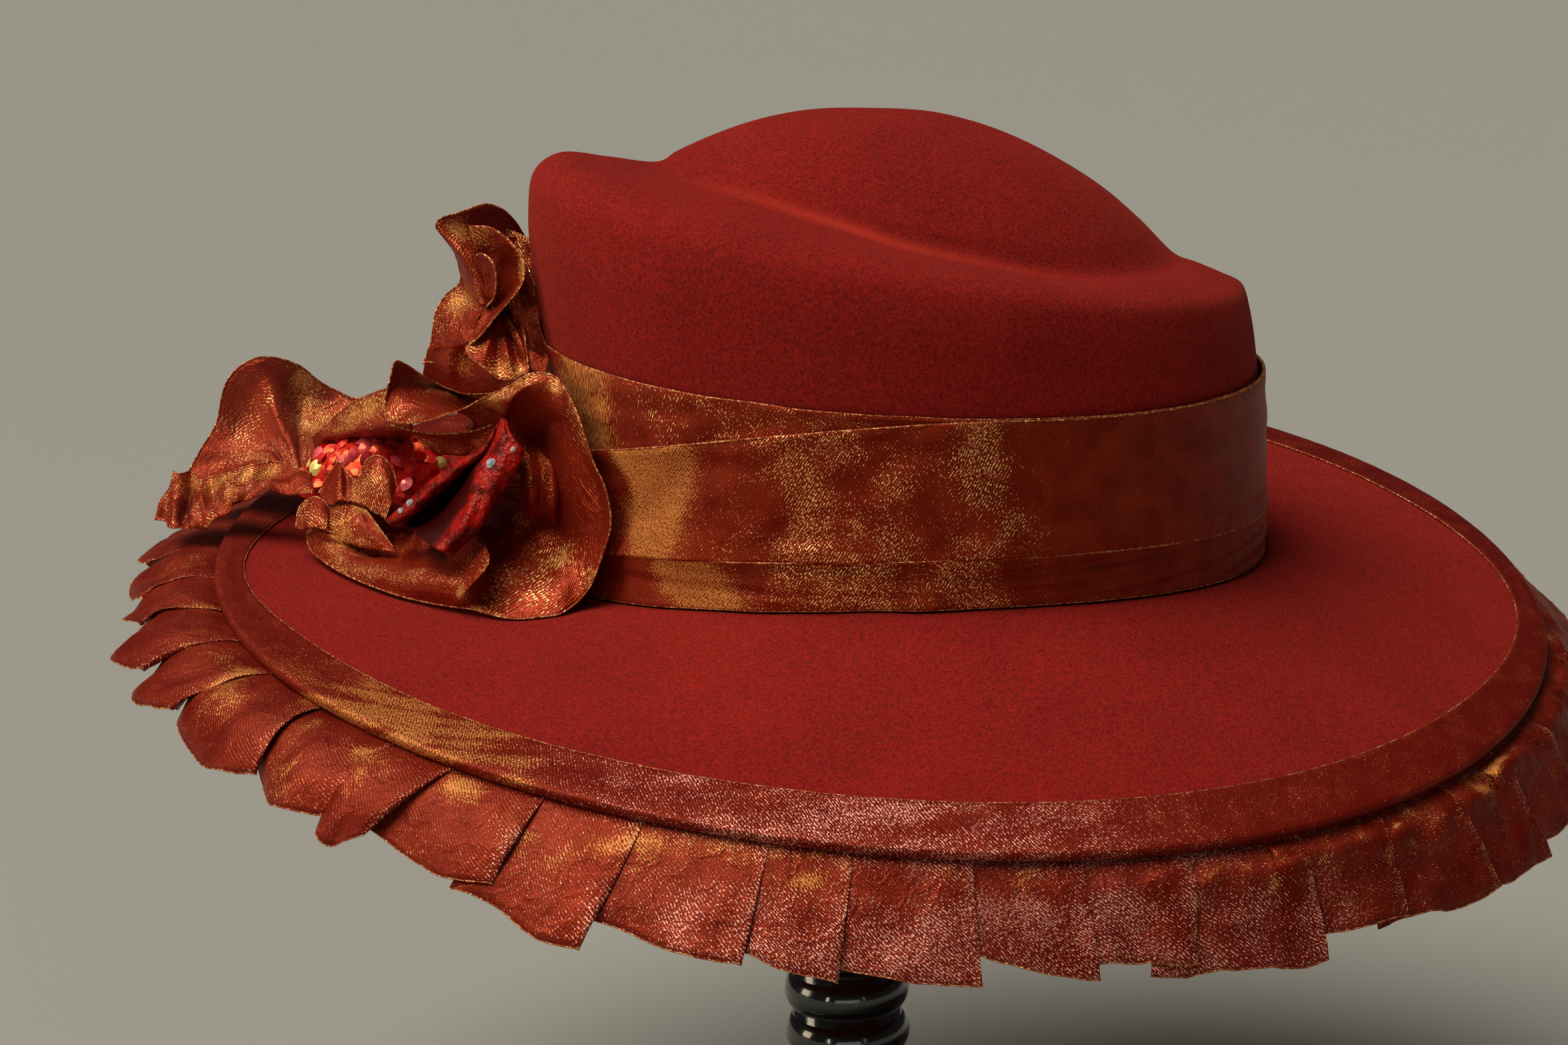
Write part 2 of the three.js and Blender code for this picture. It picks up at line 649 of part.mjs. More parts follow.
// Stand: one turned profile from the middle of the foot's underside to the top of the cap.
function standGeometry(top) {
  const capAt = (reach) => top - CAP.ball + Math.sqrt(CAP.ball ** 2 - reach ** 2);
  const profile = [
    [0, 0],
    [STAND.footRadius, 0],
    [STAND.footRadius, STAND.footEdge],
    [STAND.footRadius * 0.85, STAND.footEdge * 1.5],
    [STAND.footRadius * 0.5, STAND.footRise * 0.75],
    [STAND.waistRadius, STAND.footRise],
  ];
  for (let bead = 0; bead < BEADS.count; bead++) {
    const foot = STAND.footRise + bead * BEADS.pitch;
    profile.push([STAND.beadRadius, foot + BEADS.pitch * BEADS.low]);
    profile.push([STAND.beadRadius, foot + BEADS.pitch * BEADS.high]);
    profile.push([STAND.waistRadius, foot + BEADS.pitch]);
  }
  const capUnder = capAt(CAP.radius) - CAP.edge;
  profile.push([STAND.waistRadius, capUnder]);
  profile.push([CAP.radius, capUnder]);
  CAP.rings.forEach((share) => profile.push([CAP.radius * share, capAt(CAP.radius * share)]));
  profile.push([0, top]);
  const stand = new THREE.LatheGeometry(profile.map(([r, z]) => new THREE.Vector2(r, z)), STAND.sides);
  stand.rotateX(Math.PI / 2);
  return stand;
}

// Moves a geometry along a direction until it lies a seam's gap from the geometries that carry it.
function settle(geometry, supports, direction) {
  const towards = new THREE.Vector3(...direction);
  const back = towards.clone().negate();
  const sides = new THREE.MeshBasicMaterial({ side: THREE.DoubleSide });
  const carriers = supports.map((support) => new THREE.Mesh(support, sides));
  const moving = new THREE.Mesh(geometry, sides);
  const caster = new THREE.Raycaster();
  let travel = Infinity;
  const probe = (positions, along, targets) => {
    for (let i = 0; i < positions.count; i++) {
      const from = new THREE.Vector3().fromBufferAttribute(positions, i);
      caster.set(from, along);
      const hit = caster.intersectObjects(targets)[0];
      if (hit) travel = Math.min(travel, hit.distance);
    }
  };
  probe(geometry.attributes.position, towards, carriers);
  supports.forEach((support) => probe(support.attributes.position, back, [moving]));
  const move = towards.multiplyScalar(travel - SEAM);
  geometry.translate(move.x, move.y, move.z);
  return geometry;
}

function piece(name, geometry, color, roughness, metalness = 0) {
  const material = new THREE.MeshStandardMaterial({ color, roughness, metalness });
  const mesh = new THREE.Mesh(geometry, material);
  mesh.name = name;
  return mesh;
}

const outerCrown = crownSurface();
const crownInside = innerCrown(outerCrown);
const crown = crownGeometry(outerCrown.loops, crownInside.loops, outerCrown.apex, crownInside.apex);
const brim = brimGeometry();
const band = bandGeometry();
const binding = bindingGeometry();
const flowerFront = settle(flowerGeometry(FLOWER_FRONT), [brim, binding], DOWN);
const flowerBack = settle(flowerGeometry(FLOWER_BACK), [brim, binding, flowerFront], DOWN);
const flowerSide = settle(flowerGeometry(FLOWER_SIDE), [crown, band], TO_CROWN);

const hat = new THREE.Group();
hat.position.set(CROWN_FROM_POST, 0, CROWN_FOOT_HEIGHT);
hat.add(
  piece('crown', crown, FELT_RED, 0.95),
  piece('brim', brim, FELT_RED, 0.95),
  piece('hat_band', band, ORGANZA, 0.4, 0.2),
  piece('brim_binding', binding, ORGANZA, 0.4, 0.2),
  piece('brim_ruffle', ruffleGeometry(), ORGANZA, 0.4, 0.2),
  piece('flower_front', flowerFront, ORGANZA, 0.4, 0.2),
  piece('flower_side', flowerSide, ORGANZA, 0.4, 0.2),
  piece('flower_back', flowerBack, ORGANZA, 0.4, 0.2),
  piece('red_leaf', settle(leafGeometry(), [flowerFront, brim], DOWN), LEAF_RED, 0.35),
  piece('sequin_cluster', settle(clusterGeometry(), [flowerBack, brim], DOWN), SEQUIN_RED, 0.2, 0.3),
);

const hatOnStand = new THREE.Group();
hatOnStand.add(hat, piece('stand', standGeometry(capTop(crownInside)), STAND_BLACK, 0.2));

export default hatOnStand;
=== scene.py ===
import math

import bpy
import numpy as np
from mathutils import Matrix, Vector, noise


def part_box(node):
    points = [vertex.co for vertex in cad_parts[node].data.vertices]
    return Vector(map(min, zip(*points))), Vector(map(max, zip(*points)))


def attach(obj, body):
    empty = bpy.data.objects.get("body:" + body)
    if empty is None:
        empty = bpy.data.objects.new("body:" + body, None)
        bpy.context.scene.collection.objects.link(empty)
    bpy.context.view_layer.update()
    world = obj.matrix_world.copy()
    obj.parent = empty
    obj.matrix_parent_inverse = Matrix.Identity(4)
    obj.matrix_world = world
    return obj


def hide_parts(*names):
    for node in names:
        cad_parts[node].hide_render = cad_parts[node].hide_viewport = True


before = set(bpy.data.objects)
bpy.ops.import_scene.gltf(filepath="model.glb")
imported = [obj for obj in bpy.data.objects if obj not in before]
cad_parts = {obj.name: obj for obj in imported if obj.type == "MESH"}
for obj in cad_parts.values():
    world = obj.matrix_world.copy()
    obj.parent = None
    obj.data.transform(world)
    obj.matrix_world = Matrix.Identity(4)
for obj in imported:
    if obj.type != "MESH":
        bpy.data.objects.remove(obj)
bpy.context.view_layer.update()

# Stand: turned wood in black gloss lacquer, with a round foot, a post of stacked beads and a plain neck that
# carries a domed cap under the crown.
foot_radius, foot_edge, foot_rise, foot_ease = 76.0, 8.0, 22.0, 2.5
bead_radius, bead_round, bead_half, bead_pitch, bead_count = 18.8, 5.4, 6.9, 13.4, 13
neck_radius, cap_radius, cap_ball, cap_edge = 16.6, 40.0, 62.0, 5.0
lacquer_black = (0.006, 0.0055, 0.005, 1)


def to_metres(points):
    return np.asarray(points, float) / 1000.0


def add_piece(name, mesh, material):
    piece = bpy.data.objects.new(name, mesh)
    bpy.context.scene.collection.objects.link(piece)
    mesh.polygons.foreach_set("use_smooth", [True] * len(mesh.polygons))
    mesh.materials.clear()
    mesh.materials.append(material)
    return piece


def new_material(name):
    material = bpy.data.materials.new(name)
    material.use_nodes = True
    tree = material.node_tree
    return material, tree.nodes, tree.links, tree.nodes["Principled BSDF"]


def node(nodes, kind, **settings):
    made = nodes.new(kind)
    for key, value in settings.items():
        if isinstance(value, dict):
            for socket, number in value.items():
                made.inputs[socket].default_value = number
        else:
            setattr(made, key, value)
    return made


def remap(nodes, low, high, start=0.0, end=1.0):
    span = {"From Min": low, "From Max": high, "To Min": start, "To Max": end}
    return node(nodes, "ShaderNodeMapRange", inputs=span)


def turned(profile, steps):
    angle = np.linspace(0, 2 * math.pi, steps, endpoint=False)
    profile = np.asarray(profile, float)
    ring = profile[1:-1]
    points = np.stack(
        [ring[:, :1] * np.cos(angle), ring[:, :1] * np.sin(angle), np.repeat(ring[:, 1:], steps, 1)], -1
    ).reshape(-1, 3)
    low, high = len(points), len(points) + 1
    points = np.concatenate([points, [[0, 0, profile[0, 1]], [0, 0, profile[-1, 1]]]])
    faces = []
    for row in range(len(ring) - 1):
        for i in range(steps):
            j = (i + 1) % steps
            faces.append((row * steps + i, row * steps + j, (row + 1) * steps + j, (row + 1) * steps + i))
    last = (len(ring) - 1) * steps
    for i in range(steps):
        j = (i + 1) % steps
        faces.append((low, j, i))
        faces.append((last + i, last + j, high))
    return points, faces


def lacquer():
    material, nodes, links, shader = new_material("stand_lacquer")
    where = node(nodes, "ShaderNodeTexCoord")
    film = node(nodes, "ShaderNodeTexNoise", inputs={"Scale": 60.0, "Detail": 2.0})
    dust = node(nodes, "ShaderNodeTexNoise", inputs={"Scale": 900.0, "Detail": 1.0})
    gloss = remap(nodes, 0.35, 0.75, 0.1, 0.2)
    bump = node(nodes, "ShaderNodeBump", inputs={"Strength": 0.08, "Distance": 0.0004})
    links.new(where.outputs["Object"], film.inputs["Vector"])
    links.new(where.outputs["Object"], dust.inputs["Vector"])
    links.new(film.outputs["Fac"], gloss.inputs["Value"])
    links.new(gloss.outputs["Result"], shader.inputs["Roughness"])
    links.new(dust.outputs["Fac"], bump.inputs["Height"])
    links.new(bump.outputs["Normal"], shader.inputs["Normal"])
    shader.inputs["Base Color"].default_value = lacquer_black
    shader.inputs["IOR"].default_value = 1.55
    shader.inputs["Coat Weight"].default_value = 0.6
    shader.inputs["Coat Roughness"].default_value = 0.06
    return material


stand_lacquer = lacquer()
cap_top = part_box("stand")[1][2] * 1000.0
cap_rim = cap_top - cap_ball + math.sqrt(cap_ball**2 - cap_radius**2)
foot_round = [
    (foot_radius - foot_ease + foot_ease * math.sin(t), foot_edge - foot_ease + foot_ease * math.cos(t))
    for t in np.linspace(1.57, 0.35, 6)
]
stand_profile = [(0, 0), (foot_radius - 1.5, 0), (foot_radius, 1.5), *foot_round]
for share in np.linspace(0.06, 1, 14):
    stand_profile.append(
        (
            foot_radius * 0.94 - (foot_radius * 0.94 - neck_radius) * share,
            foot_edge + 0.7 + (foot_rise - foot_edge - 0.7) * share**1.7,
        )
    )
stand_profile += [(neck_radius, cap_rim - cap_edge - 6), (neck_radius + 3, cap_rim - cap_edge - 1)]
stand_profile += [(cap_radius - 3, cap_rim - cap_edge), (cap_radius, cap_rim - cap_edge + 2)]
stand_profile.append((cap_radius, cap_rim - 0.6))
for share in np.linspace(0.97, 0.06, 12):
    reach = cap_radius * share
    stand_profile.append((reach, cap_top - cap_ball + math.sqrt(cap_ball**2 - reach**2)))
stand_profile.append((0, cap_top))
points, faces = turned(stand_profile, 96)
stand_mesh = bpy.data.meshes.new("stand_turning")
stand_mesh.from_pydata(to_metres(points).tolist(), [], faces)
stand_turning = add_piece("stand_turning", stand_mesh, stand_lacquer)


def tree_with(name, *sockets):
    tree = bpy.data.node_groups.new(name, "GeometryNodeTree")
    for label, kind in sockets:
        tree.interface.new_socket(label, in_out="INPUT", socket_type=kind)
    tree.interface.new_socket("Geometry", in_out="OUTPUT", socket_type="NodeSocketGeometry")
    return tree, tree.nodes, tree.links, tree.nodes.new("NodeGroupInput"), tree.nodes.new("NodeGroupOutput")


def dress(nodes, links, given, made, shape):
    real = node(nodes, "GeometryNodeRealizeInstances")
    dressed = node(nodes, "GeometryNodeSetMaterial")
    links.new(shape, real.inputs["Geometry"])
    links.new(real.outputs["Geometry"], dressed.inputs["Geometry"])
    links.new(given.outputs["Material"], dressed.inputs["Material"])
    links.new(dressed.outputs["Geometry"], made.inputs["Geometry"])


def grown(name, tree, base, values, material):
    holder = bpy.data.objects.new(name, base)
    bpy.context.scene.collection.objects.link(holder)
    modifier = holder.modifiers.new("grow", "NODES")
    modifier.node_group = tree
    for item in tree.interface.items_tree:
        if item.in_out == "INPUT" and item.name in values:
            modifier[item.identifier] = values[item.name]
    bpy.context.view_layer.update()
    mesh = bpy.data.meshes.new_from_object(holder.evaluated_get(bpy.context.evaluated_depsgraph_get()))
    holder.modifiers.remove(modifier)
    bpy.data.objects.remove(holder)
    return add_piece(name, mesh, material)


bead_tree, nodes, links, given, made = tree_with(
    "bead_post",
    ("Count", "NodeSocketInt"),
    ("Pitch", "NodeSocketFloat"),
    ("First Height", "NodeSocketFloat"),
    ("Radius", "NodeSocketFloat"),
    ("Round", "NodeSocketFloat"),
    ("Half Height", "NodeSocketFloat"),
    ("Material", "NodeSocketMaterial"),
)
line = node(nodes, "GeometryNodeMeshLine", mode="OFFSET")
step = node(nodes, "ShaderNodeCombineXYZ")
start = node(nodes, "ShaderNodeCombineXYZ")
inset = node(nodes, "ShaderNodeMath", operation="SUBTRACT")
around = node(nodes, "GeometryNodeCurvePrimitiveCircle", inputs={"Resolution": 72})
section = node(nodes, "GeometryNodeCurvePrimitiveCircle", inputs={"Resolution": 24, "Radius": 1.0})
squeeze = node(nodes, "ShaderNodeCombineXYZ", inputs={"Z": 1.0})
shaped = node(nodes, "GeometryNodeTransform")
bead = node(nodes, "GeometryNodeCurveToMesh")
spread = node(nodes, "GeometryNodeInstanceOnPoints")
links.new(given.outputs["Pitch"], step.inputs["Z"])
links.new(given.outputs["First Height"], start.inputs["Z"])
links.new(given.outputs["Count"], line.inputs["Count"])
links.new(start.outputs["Vector"], line.inputs["Start Location"])
links.new(step.outputs["Vector"], line.inputs["Offset"])
links.new(given.outputs["Radius"], inset.inputs[0])
links.new(given.outputs["Round"], inset.inputs[1])
links.new(inset.outputs["Value"], around.inputs["Radius"])
links.new(given.outputs["Round"], squeeze.inputs["X"])
links.new(given.outputs["Half Height"], squeeze.inputs["Y"])
links.new(section.outputs["Curve"], shaped.inputs["Geometry"])
links.new(squeeze.outputs["Vector"], shaped.inputs["Scale"])
links.new(around.outputs["Curve"], bead.inputs["Curve"])
links.new(shaped.outputs["Geometry"], bead.inputs["Profile Curve"])
links.new(line.outputs["Mesh"], spread.inputs["Points"])
links.new(bead.outputs["Mesh"], spread.inputs["Instance"])
dress(nodes, links, given, made, spread.outputs["Instances"])
stand_beads = grown(
    "stand_beads",
    bead_tree,
    bpy.data.meshes.new("bead_seed"),
    {
        "Count": bead_count,
        "Pitch": bead_pitch / 1000,
        "First Height": (foot_rise + bead_pitch / 2) / 1000,
        "Radius": bead_radius / 1000,
        "Round": bead_round / 1000,
        "Half Height": bead_half / 1000,
        "Material": stand_lacquer,
    },
    stand_lacquer,
)
for piece in (stand_turning, stand_beads):
    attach(piece, "root")
    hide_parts("stand")

# Crown: red wool felt blocked in one piece, with an upright wall, a soft shoulder that slopes to the right,
# a pressed crease and a dome inside it. It is brushed, with a paler painted highlight along the crease.
hat_place = np.array([20.0, 0.0, 225.0])
felt_wall = 2.0
foot_dip = 8.0
shoulder_middle, shoulder_slope, shoulder_far_drop = 93.0, 19.75, 20.0
# Each row of the wall: share of its height, half length at the flower end and at the other end, half width.
crown_wall = np.array(
    [
        (0.00, 104.0, 104.0, 90.0),
        (0.30, 102.5, 104.3, 89.0),
        (0.52, 102.3, 104.0, 88.2),
        (0.72, 104.8, 102.7, 86.8),
        (0.87, 105.2, 101.0, 85.0),
        (0.96, 103.2, 98.7, 81.5),
        (1.00, 96.0, 93.0, 75.0),
    ]
)
crease_left, crease_right, crease_side = 68.0, 79.0, 53.0
crease_middle, crease_slope, crease_side_slope, crease_far_drop = 94.5, 15.0, 8.0, 10.0
dome_x, dome_top, dome_fullness = -10.0, 123.0, 2.3
felt_deep, felt_lit = (0.115, 0.003, 0.002, 1), (0.32, 0.011, 0.006, 1)
# Painted highlight colour for the crease, where light gathers in the felt.
felt_crease_highlight = (0.46, 0.03, 0.013, 1)


def on_hat(points):
    return to_metres(np.asarray(points, float) + hat_place)


def foot_height(a):
    return -foot_dip * np.cos(a) ** 2


def shoulder_height(a):
    return shoulder_middle - shoulder_slope * np.cos(a) - shoulder_far_drop * np.maximum(0, np.sin(a))


def crease_height(a):
    slope = crease_slope + crease_side_slope * np.sin(a) ** 2
    return crease_middle - slope * np.cos(a) - crease_far_drop * np.maximum(0, np.sin(a))


def oval(a, left, right, side, height):
    half = np.where(np.cos(a) < 0, left, right)
    return np.stack([half * np.cos(a), side * np.sin(a), height + 0 * a], -1)


def curve_through(knots, count, spacing=0.5):
    knots = np.asarray(knots, float)
    steps = np.linalg.norm(np.diff(knots, axis=0), axis=-1).reshape(len(knots) - 1, -1).mean(1)
    place = np.concatenate([[0], np.cumsum(np.maximum(steps, 1e-6) ** spacing)])
    gap = np.diff(place).reshape(-1, *[1] * (knots.ndim - 1))
    rate = np.diff(knots, axis=0) / gap
    bend = (rate[:-1] * gap[1:] + rate[1:] * gap[:-1]) / (gap[1:] + gap[:-1])
    slope = np.concatenate([rate[:1], bend, rate[-1:]])
    want = np.linspace(0, place[-1], count)
    i = np.clip(np.searchsorted(place, want, side="right") - 1, 0, len(knots) - 2)
    h = np.diff(place)[i]
    t = ((want - place[i]) / h).reshape(-1, *[1] * (knots.ndim - 1))
    h = h.reshape(-1, *[1] * (knots.ndim - 1))
    return (
        (2 * t**3 - 3 * t**2 + 1) * knots[i]
        + (t**3 - 2 * t**2 + t) * h * slope[i]
        + (-2 * t**3 + 3 * t**2) * knots[i + 1]
        + (t**3 - t**2) * h * slope[i + 1]
    )


def corner_uvs(u, v, r, c):
    corners = (r, c), (r, c + 1), (r + 1, c + 1), (r + 1, c)
    pairs = [side[corner] for corner in corners for side in (u, v)]
    return np.stack(pairs, -1).reshape(-1).astype(np.float32)


def grid_mesh(name, grid, u=None, v=None, ring=False, pole=None):
    rows, columns = grid.shape[:2]
    r, c = np.meshgrid(np.arange(rows - 1), np.arange(columns if ring else columns - 1), indexing="ij")
    n = (c + 1) % columns
    faces = np.stack([r * columns + c, r * columns + n, (r + 1) * columns + n, (r + 1) * columns + c], -1)
    faces = faces.reshape(-1, 4).tolist()
    points = grid.reshape(-1, 3).tolist()
    if pole is not None:
        points.append(list(pole))
        last = (rows - 1) * columns
        faces += [(last + i, last + (i + 1) % columns, len(points) - 1) for i in range(columns)]
    mesh = bpy.data.meshes.new(name)
    mesh.from_pydata(points, [], faces)
    if u is not None:
        mesh.uv_layers.new(name="cloth").uv.foreach_set("vector", corner_uvs(u, v, r, c))
    return mesh


def drift(points, size, amount, seed=0.0):
    flat = points.reshape(-1, 3) / size + seed
    return (np.array([noise.noise(Vector(p)) for p in flat]) * amount).reshape(points.shape[:-1])


def bell(value, centre, width):
    return np.exp(-(((value - centre) / width) ** 2))


def paint(mesh, label, amount):
    values = np.asarray(amount, np.float32).reshape(-1)
    mesh.attributes.new(label, "FLOAT", "POINT").data.foreach_set("value", values)


def felt_nap_group():
    tree = bpy.data.node_groups.new("felt_nap", "ShaderNodeTree")
    for label in ("Nap", "Mottle"):
        tree.interface.new_socket(label, in_out="INPUT", socket_type="NodeSocketFloat")
    for label in ("Tone", "Height"):
        tree.interface.new_socket(label, in_out="OUTPUT", socket_type="NodeSocketFloat")
    nodes, links = tree.nodes, tree.links
    given, made = nodes.new("NodeGroupInput"), nodes.new("NodeGroupOutput")
    where = node(nodes, "ShaderNodeTexCoord")
    nap = node(nodes, "ShaderNodeTexNoise", inputs={"Detail": 4.0, "Roughness": 0.75})
    mottle = node(nodes, "ShaderNodeTexNoise", inputs={"Detail": 4.0, "Roughness": 0.6})
    cloud = node(nodes, "ShaderNodeTexNoise", inputs={"Scale": 30.0, "Detail": 2.0})
    fine = node(nodes, "ShaderNodeMath", operation="MULTIPLY", inputs={1: 1.05})
    half = node(nodes, "ShaderNodeMath", operation="MULTIPLY_ADD", inputs={1: 0.2})
    tone = node(nodes, "ShaderNodeMath", operation="MULTIPLY_ADD", inputs={1: 0.14})
    for texture in (nap, mottle, cloud):
        links.new(where.outputs["Object"], texture.inputs["Vector"])
    links.new(given.outputs["Nap"], nap.inputs["Scale"])
    links.new(given.outputs["Mottle"], mottle.inputs["Scale"])
    links.new(nap.outputs["Fac"], fine.inputs[0])
    links.new(mottle.outputs["Fac"], half.inputs[0])
    links.new(fine.outputs["Value"], half.inputs[2])
    links.new(cloud.outputs["Fac"], tone.inputs[0])
    links.new(half.outputs["Value"], tone.inputs[2])
    links.new(tone.outputs["Value"], made.inputs["Tone"])
    links.new(nap.outputs["Fac"], made.inputs["Height"])
    return tree


felt_nap = felt_nap_group()


def felt(name, painted_crease_highlight):
    material, nodes, links, shader = new_material(name)
    nap = node(nodes, "ShaderNodeGroup", node_tree=felt_nap, inputs={"Nap": 1200.0, "Mottle": 520.0})
    tone = remap(nodes, 0.54, 0.85)
    shade = node(nodes, "ShaderNodeMix", data_type="RGBA")
    shade.inputs["A"].default_value = felt_deep
    shade.inputs["B"].default_value = felt_lit
    bump = node(nodes, "ShaderNodeBump", inputs={"Strength": 0.55, "Distance": 0.0005})
    links.new(nap.outputs["Tone"], tone.inputs["Value"])
    links.new(tone.outputs["Result"], shade.inputs["Factor"])
    links.new(nap.outputs["Height"], bump.inputs["Height"])
    links.new(bump.outputs["Normal"], shader.inputs["Normal"])
    colour = shade.outputs["Result"]
    # Painted highlight: a mask lightens the felt along the crease.
    if painted_crease_highlight:
        mask = node(nodes, "ShaderNodeAttribute", attribute_name="painted_crease_highlight")
        crease_lit = node(nodes, "ShaderNodeMix", data_type="RGBA")
        crease_lit.inputs["B"].default_value = felt_crease_highlight
        links.new(mask.outputs["Fac"], crease_lit.inputs["Factor"])
        links.new(colour, crease_lit.inputs["A"])
        colour = crease_lit.outputs["Result"]
    links.new(colour, shader.inputs["Base Color"])
    shader.inputs["Roughness"].default_value = 0.95
    shader.inputs["Specular IOR Level"].default_value = 0.15
    shader.inputs["Sheen Weight"].default_value = 0.12
    shader.inputs["Sheen Roughness"].default_value = 0.45
    shader.inputs["Sheen Tint"].default_value = (1.0, 0.16, 0.06, 1)
    return material


def thicken(piece, wall, offset=-1.0):
    solid = piece.modifiers.new("wall", "SOLIDIFY")
    solid.thickness = wall / 1000
    solid.offset = offset
    solid.use_even_offset = False
    return piece


crown_angle = np.linspace(0, 2 * math.pi, 240, endpoint=False)
crown_foot = foot_height(crown_angle)
wall_height = shoulder_height(crown_angle) - crown_foot
wall_rows = [
    oval(crown_angle, left, right, side, crown_foot + wall_height * rise)
    for rise, left, right, side in crown_wall
]
wall_rows[0][..., 2] -= felt_wall
crease_row = oval(crown_angle, crease_left, crease_right, crease_side, crease_height(crown_angle))
shelf_row = (wall_rows[-1] + crease_row) / 2
dome_apex = np.array([dome_x, 0.0, dome_top])
dome_rows = []
for share in (0.9, 0.74, 0.52, 0.27, 0.03):
    ring = dome_apex + (crease_row - dome_apex) * share
    ring[..., 2] = crease_row[..., 2] + (dome_top - crease_row[..., 2]) * (1 - share**dome_fullness)
    dome_rows.append(ring)
crown_grid = curve_through([*wall_rows, shelf_row, crease_row, *dome_rows], 150)
crease_gap = np.linalg.norm(crown_grid[:, None, :, :] - crease_row[None, None, :, :], axis=-1).min(1)
crown_grid[..., 2] += drift(crown_grid, 26.0, 0.5, 3.1)
crown_mesh = grid_mesh("crown", on_hat(crown_grid), ring=True, pole=on_hat(dome_apex))
# Painted highlight along the crease, strongest on the near side.
painted_crease_highlight = bell(crease_gap, 0, 2.6) * np.clip(0.75 - 0.9 * np.abs((crown_angle - 4.55) / 1.1), 0, 1)
paint(crown_mesh, "painted_crease_highlight", np.append(painted_crease_highlight, 0.0))
crown = thicken(add_piece("felt_crown", crown_mesh, felt("crown_felt", True)), felt_wall)
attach(crown, "root")
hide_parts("crown")

# Brim: one wall of the same felt, sewn round the crown's foot. It rolls down all round and dips most on the
# near right.
brim_length, brim_side, brim_shift, brim_roll = 192.5, 181.0, -7.0, 1.25
brim_foot_length, brim_foot_side = 104.4, 90.4
edge_middle, edge_slope, edge_near_dip, edge_twist = -15.8, 14.6, 20.2, 3.1


def edge_height(a):
    return edge_middle - edge_slope * np.cos(a) + edge_near_dip * np.sin(a) + edge_twist * np.sin(2 * a)


def brim_halves(share):
    length = brim_foot_length + (brim_length - brim_foot_length) * share
    return length, brim_foot_side + (brim_side - brim_foot_side) * share


def brim_top(a, share):
    a, share = np.broadcast_arrays(np.asarray(a, float), np.asarray(share, float))
    length, side = brim_halves(share)
    return np.stack(
        [
            brim_shift * share + length * np.cos(a),
            side * np.sin(a),
            foot_height(a) + (edge_height(a) - foot_height(a)) * np.maximum(share, 0) ** brim_roll,
        ],
        -1,
    )


def unit(vectors):
    return vectors / np.linalg.norm(vectors, axis=-1, keepdims=True)


def brim_frame(a, share):
    out = unit(brim_top(a, share + 0.01) - brim_top(a, np.maximum(0, share - 0.01)))
    along = unit(brim_top(a + 0.01, share) - brim_top(a - 0.01, share))
    up = unit(np.cross(out, along))
    return np.cross(along, up), up, along


brim_angle = np.linspace(0, 2 * math.pi, 300, endpoint=False)
brim_grid = np.stack([brim_top(brim_angle, share) for share in np.linspace(1, 0, 34)])
brim_grid[..., 2] += drift(brim_grid, 40.0, 0.6, 7.7) * np.linspace(0.3, 0, 34)[:, None]
brim_mesh = grid_mesh("brim", on_hat(brim_grid), ring=True)
brim = thicken(add_piece("felt_brim", brim_mesh, felt("brim_felt", False)), felt_wall)
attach(brim, "root")
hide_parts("brim")

# Hat band: shot organza ribbon, red warp and copper weft, draped round the crown in three laps. A lower strip
# is tucked under the panel, and the panel overlaps a top strip. Its woven edges glitter.
ribbon_wall, thread_pitch = 0.25, 0.74
organza_red, organza_copper = (0.145, 0.005, 0.0025, 1), (0.25, 0.019, 0.006, 1)
organza_gold = (0.58, 0.22, 0.05, 1)
# Painted glint colours, mixed into the cloth's base colour as sparkle.
gold_glint, pink_glint = (1.0, 0.58, 0.2, 1), (0.92, 0.44, 0.33, 1)


def wall_point(a, height, off):
    rise = (height - foot_height(a)) / (shoulder_height(a) - foot_height(a))
    table = curve_through(crown_wall, 200, spacing=1.0)
    left, right, side = (np.interp(rise, table[:, 0], table[:, k]) for k in (1, 2, 3))
    half = np.where(np.cos(a) < 0, left, right)
    out = unit(np.stack([np.cos(a) / half, np.sin(a) / side], -1))
    x, y = half * np.cos(a) + out[..., 0] * off, side * np.sin(a) + out[..., 1] * off
    return np.stack([x, y, height + 0 * a], -1)


def lengths(grid, ring):
    closed = np.concatenate([grid, grid[:, :1]], 1) if ring else grid
    along = np.cumsum(np.linalg.norm(np.diff(closed, axis=1), axis=-1), 1).mean(0)
    down = np.cumsum(np.linalg.norm(np.diff(closed, axis=0), axis=-1), 0).mean(1)
    u = np.tile(np.append(0, along), (len(grid), 1))
    v = np.tile(np.append(0, down)[:, None], (1, closed.shape[1]))
    return u / 1000, v / 1000


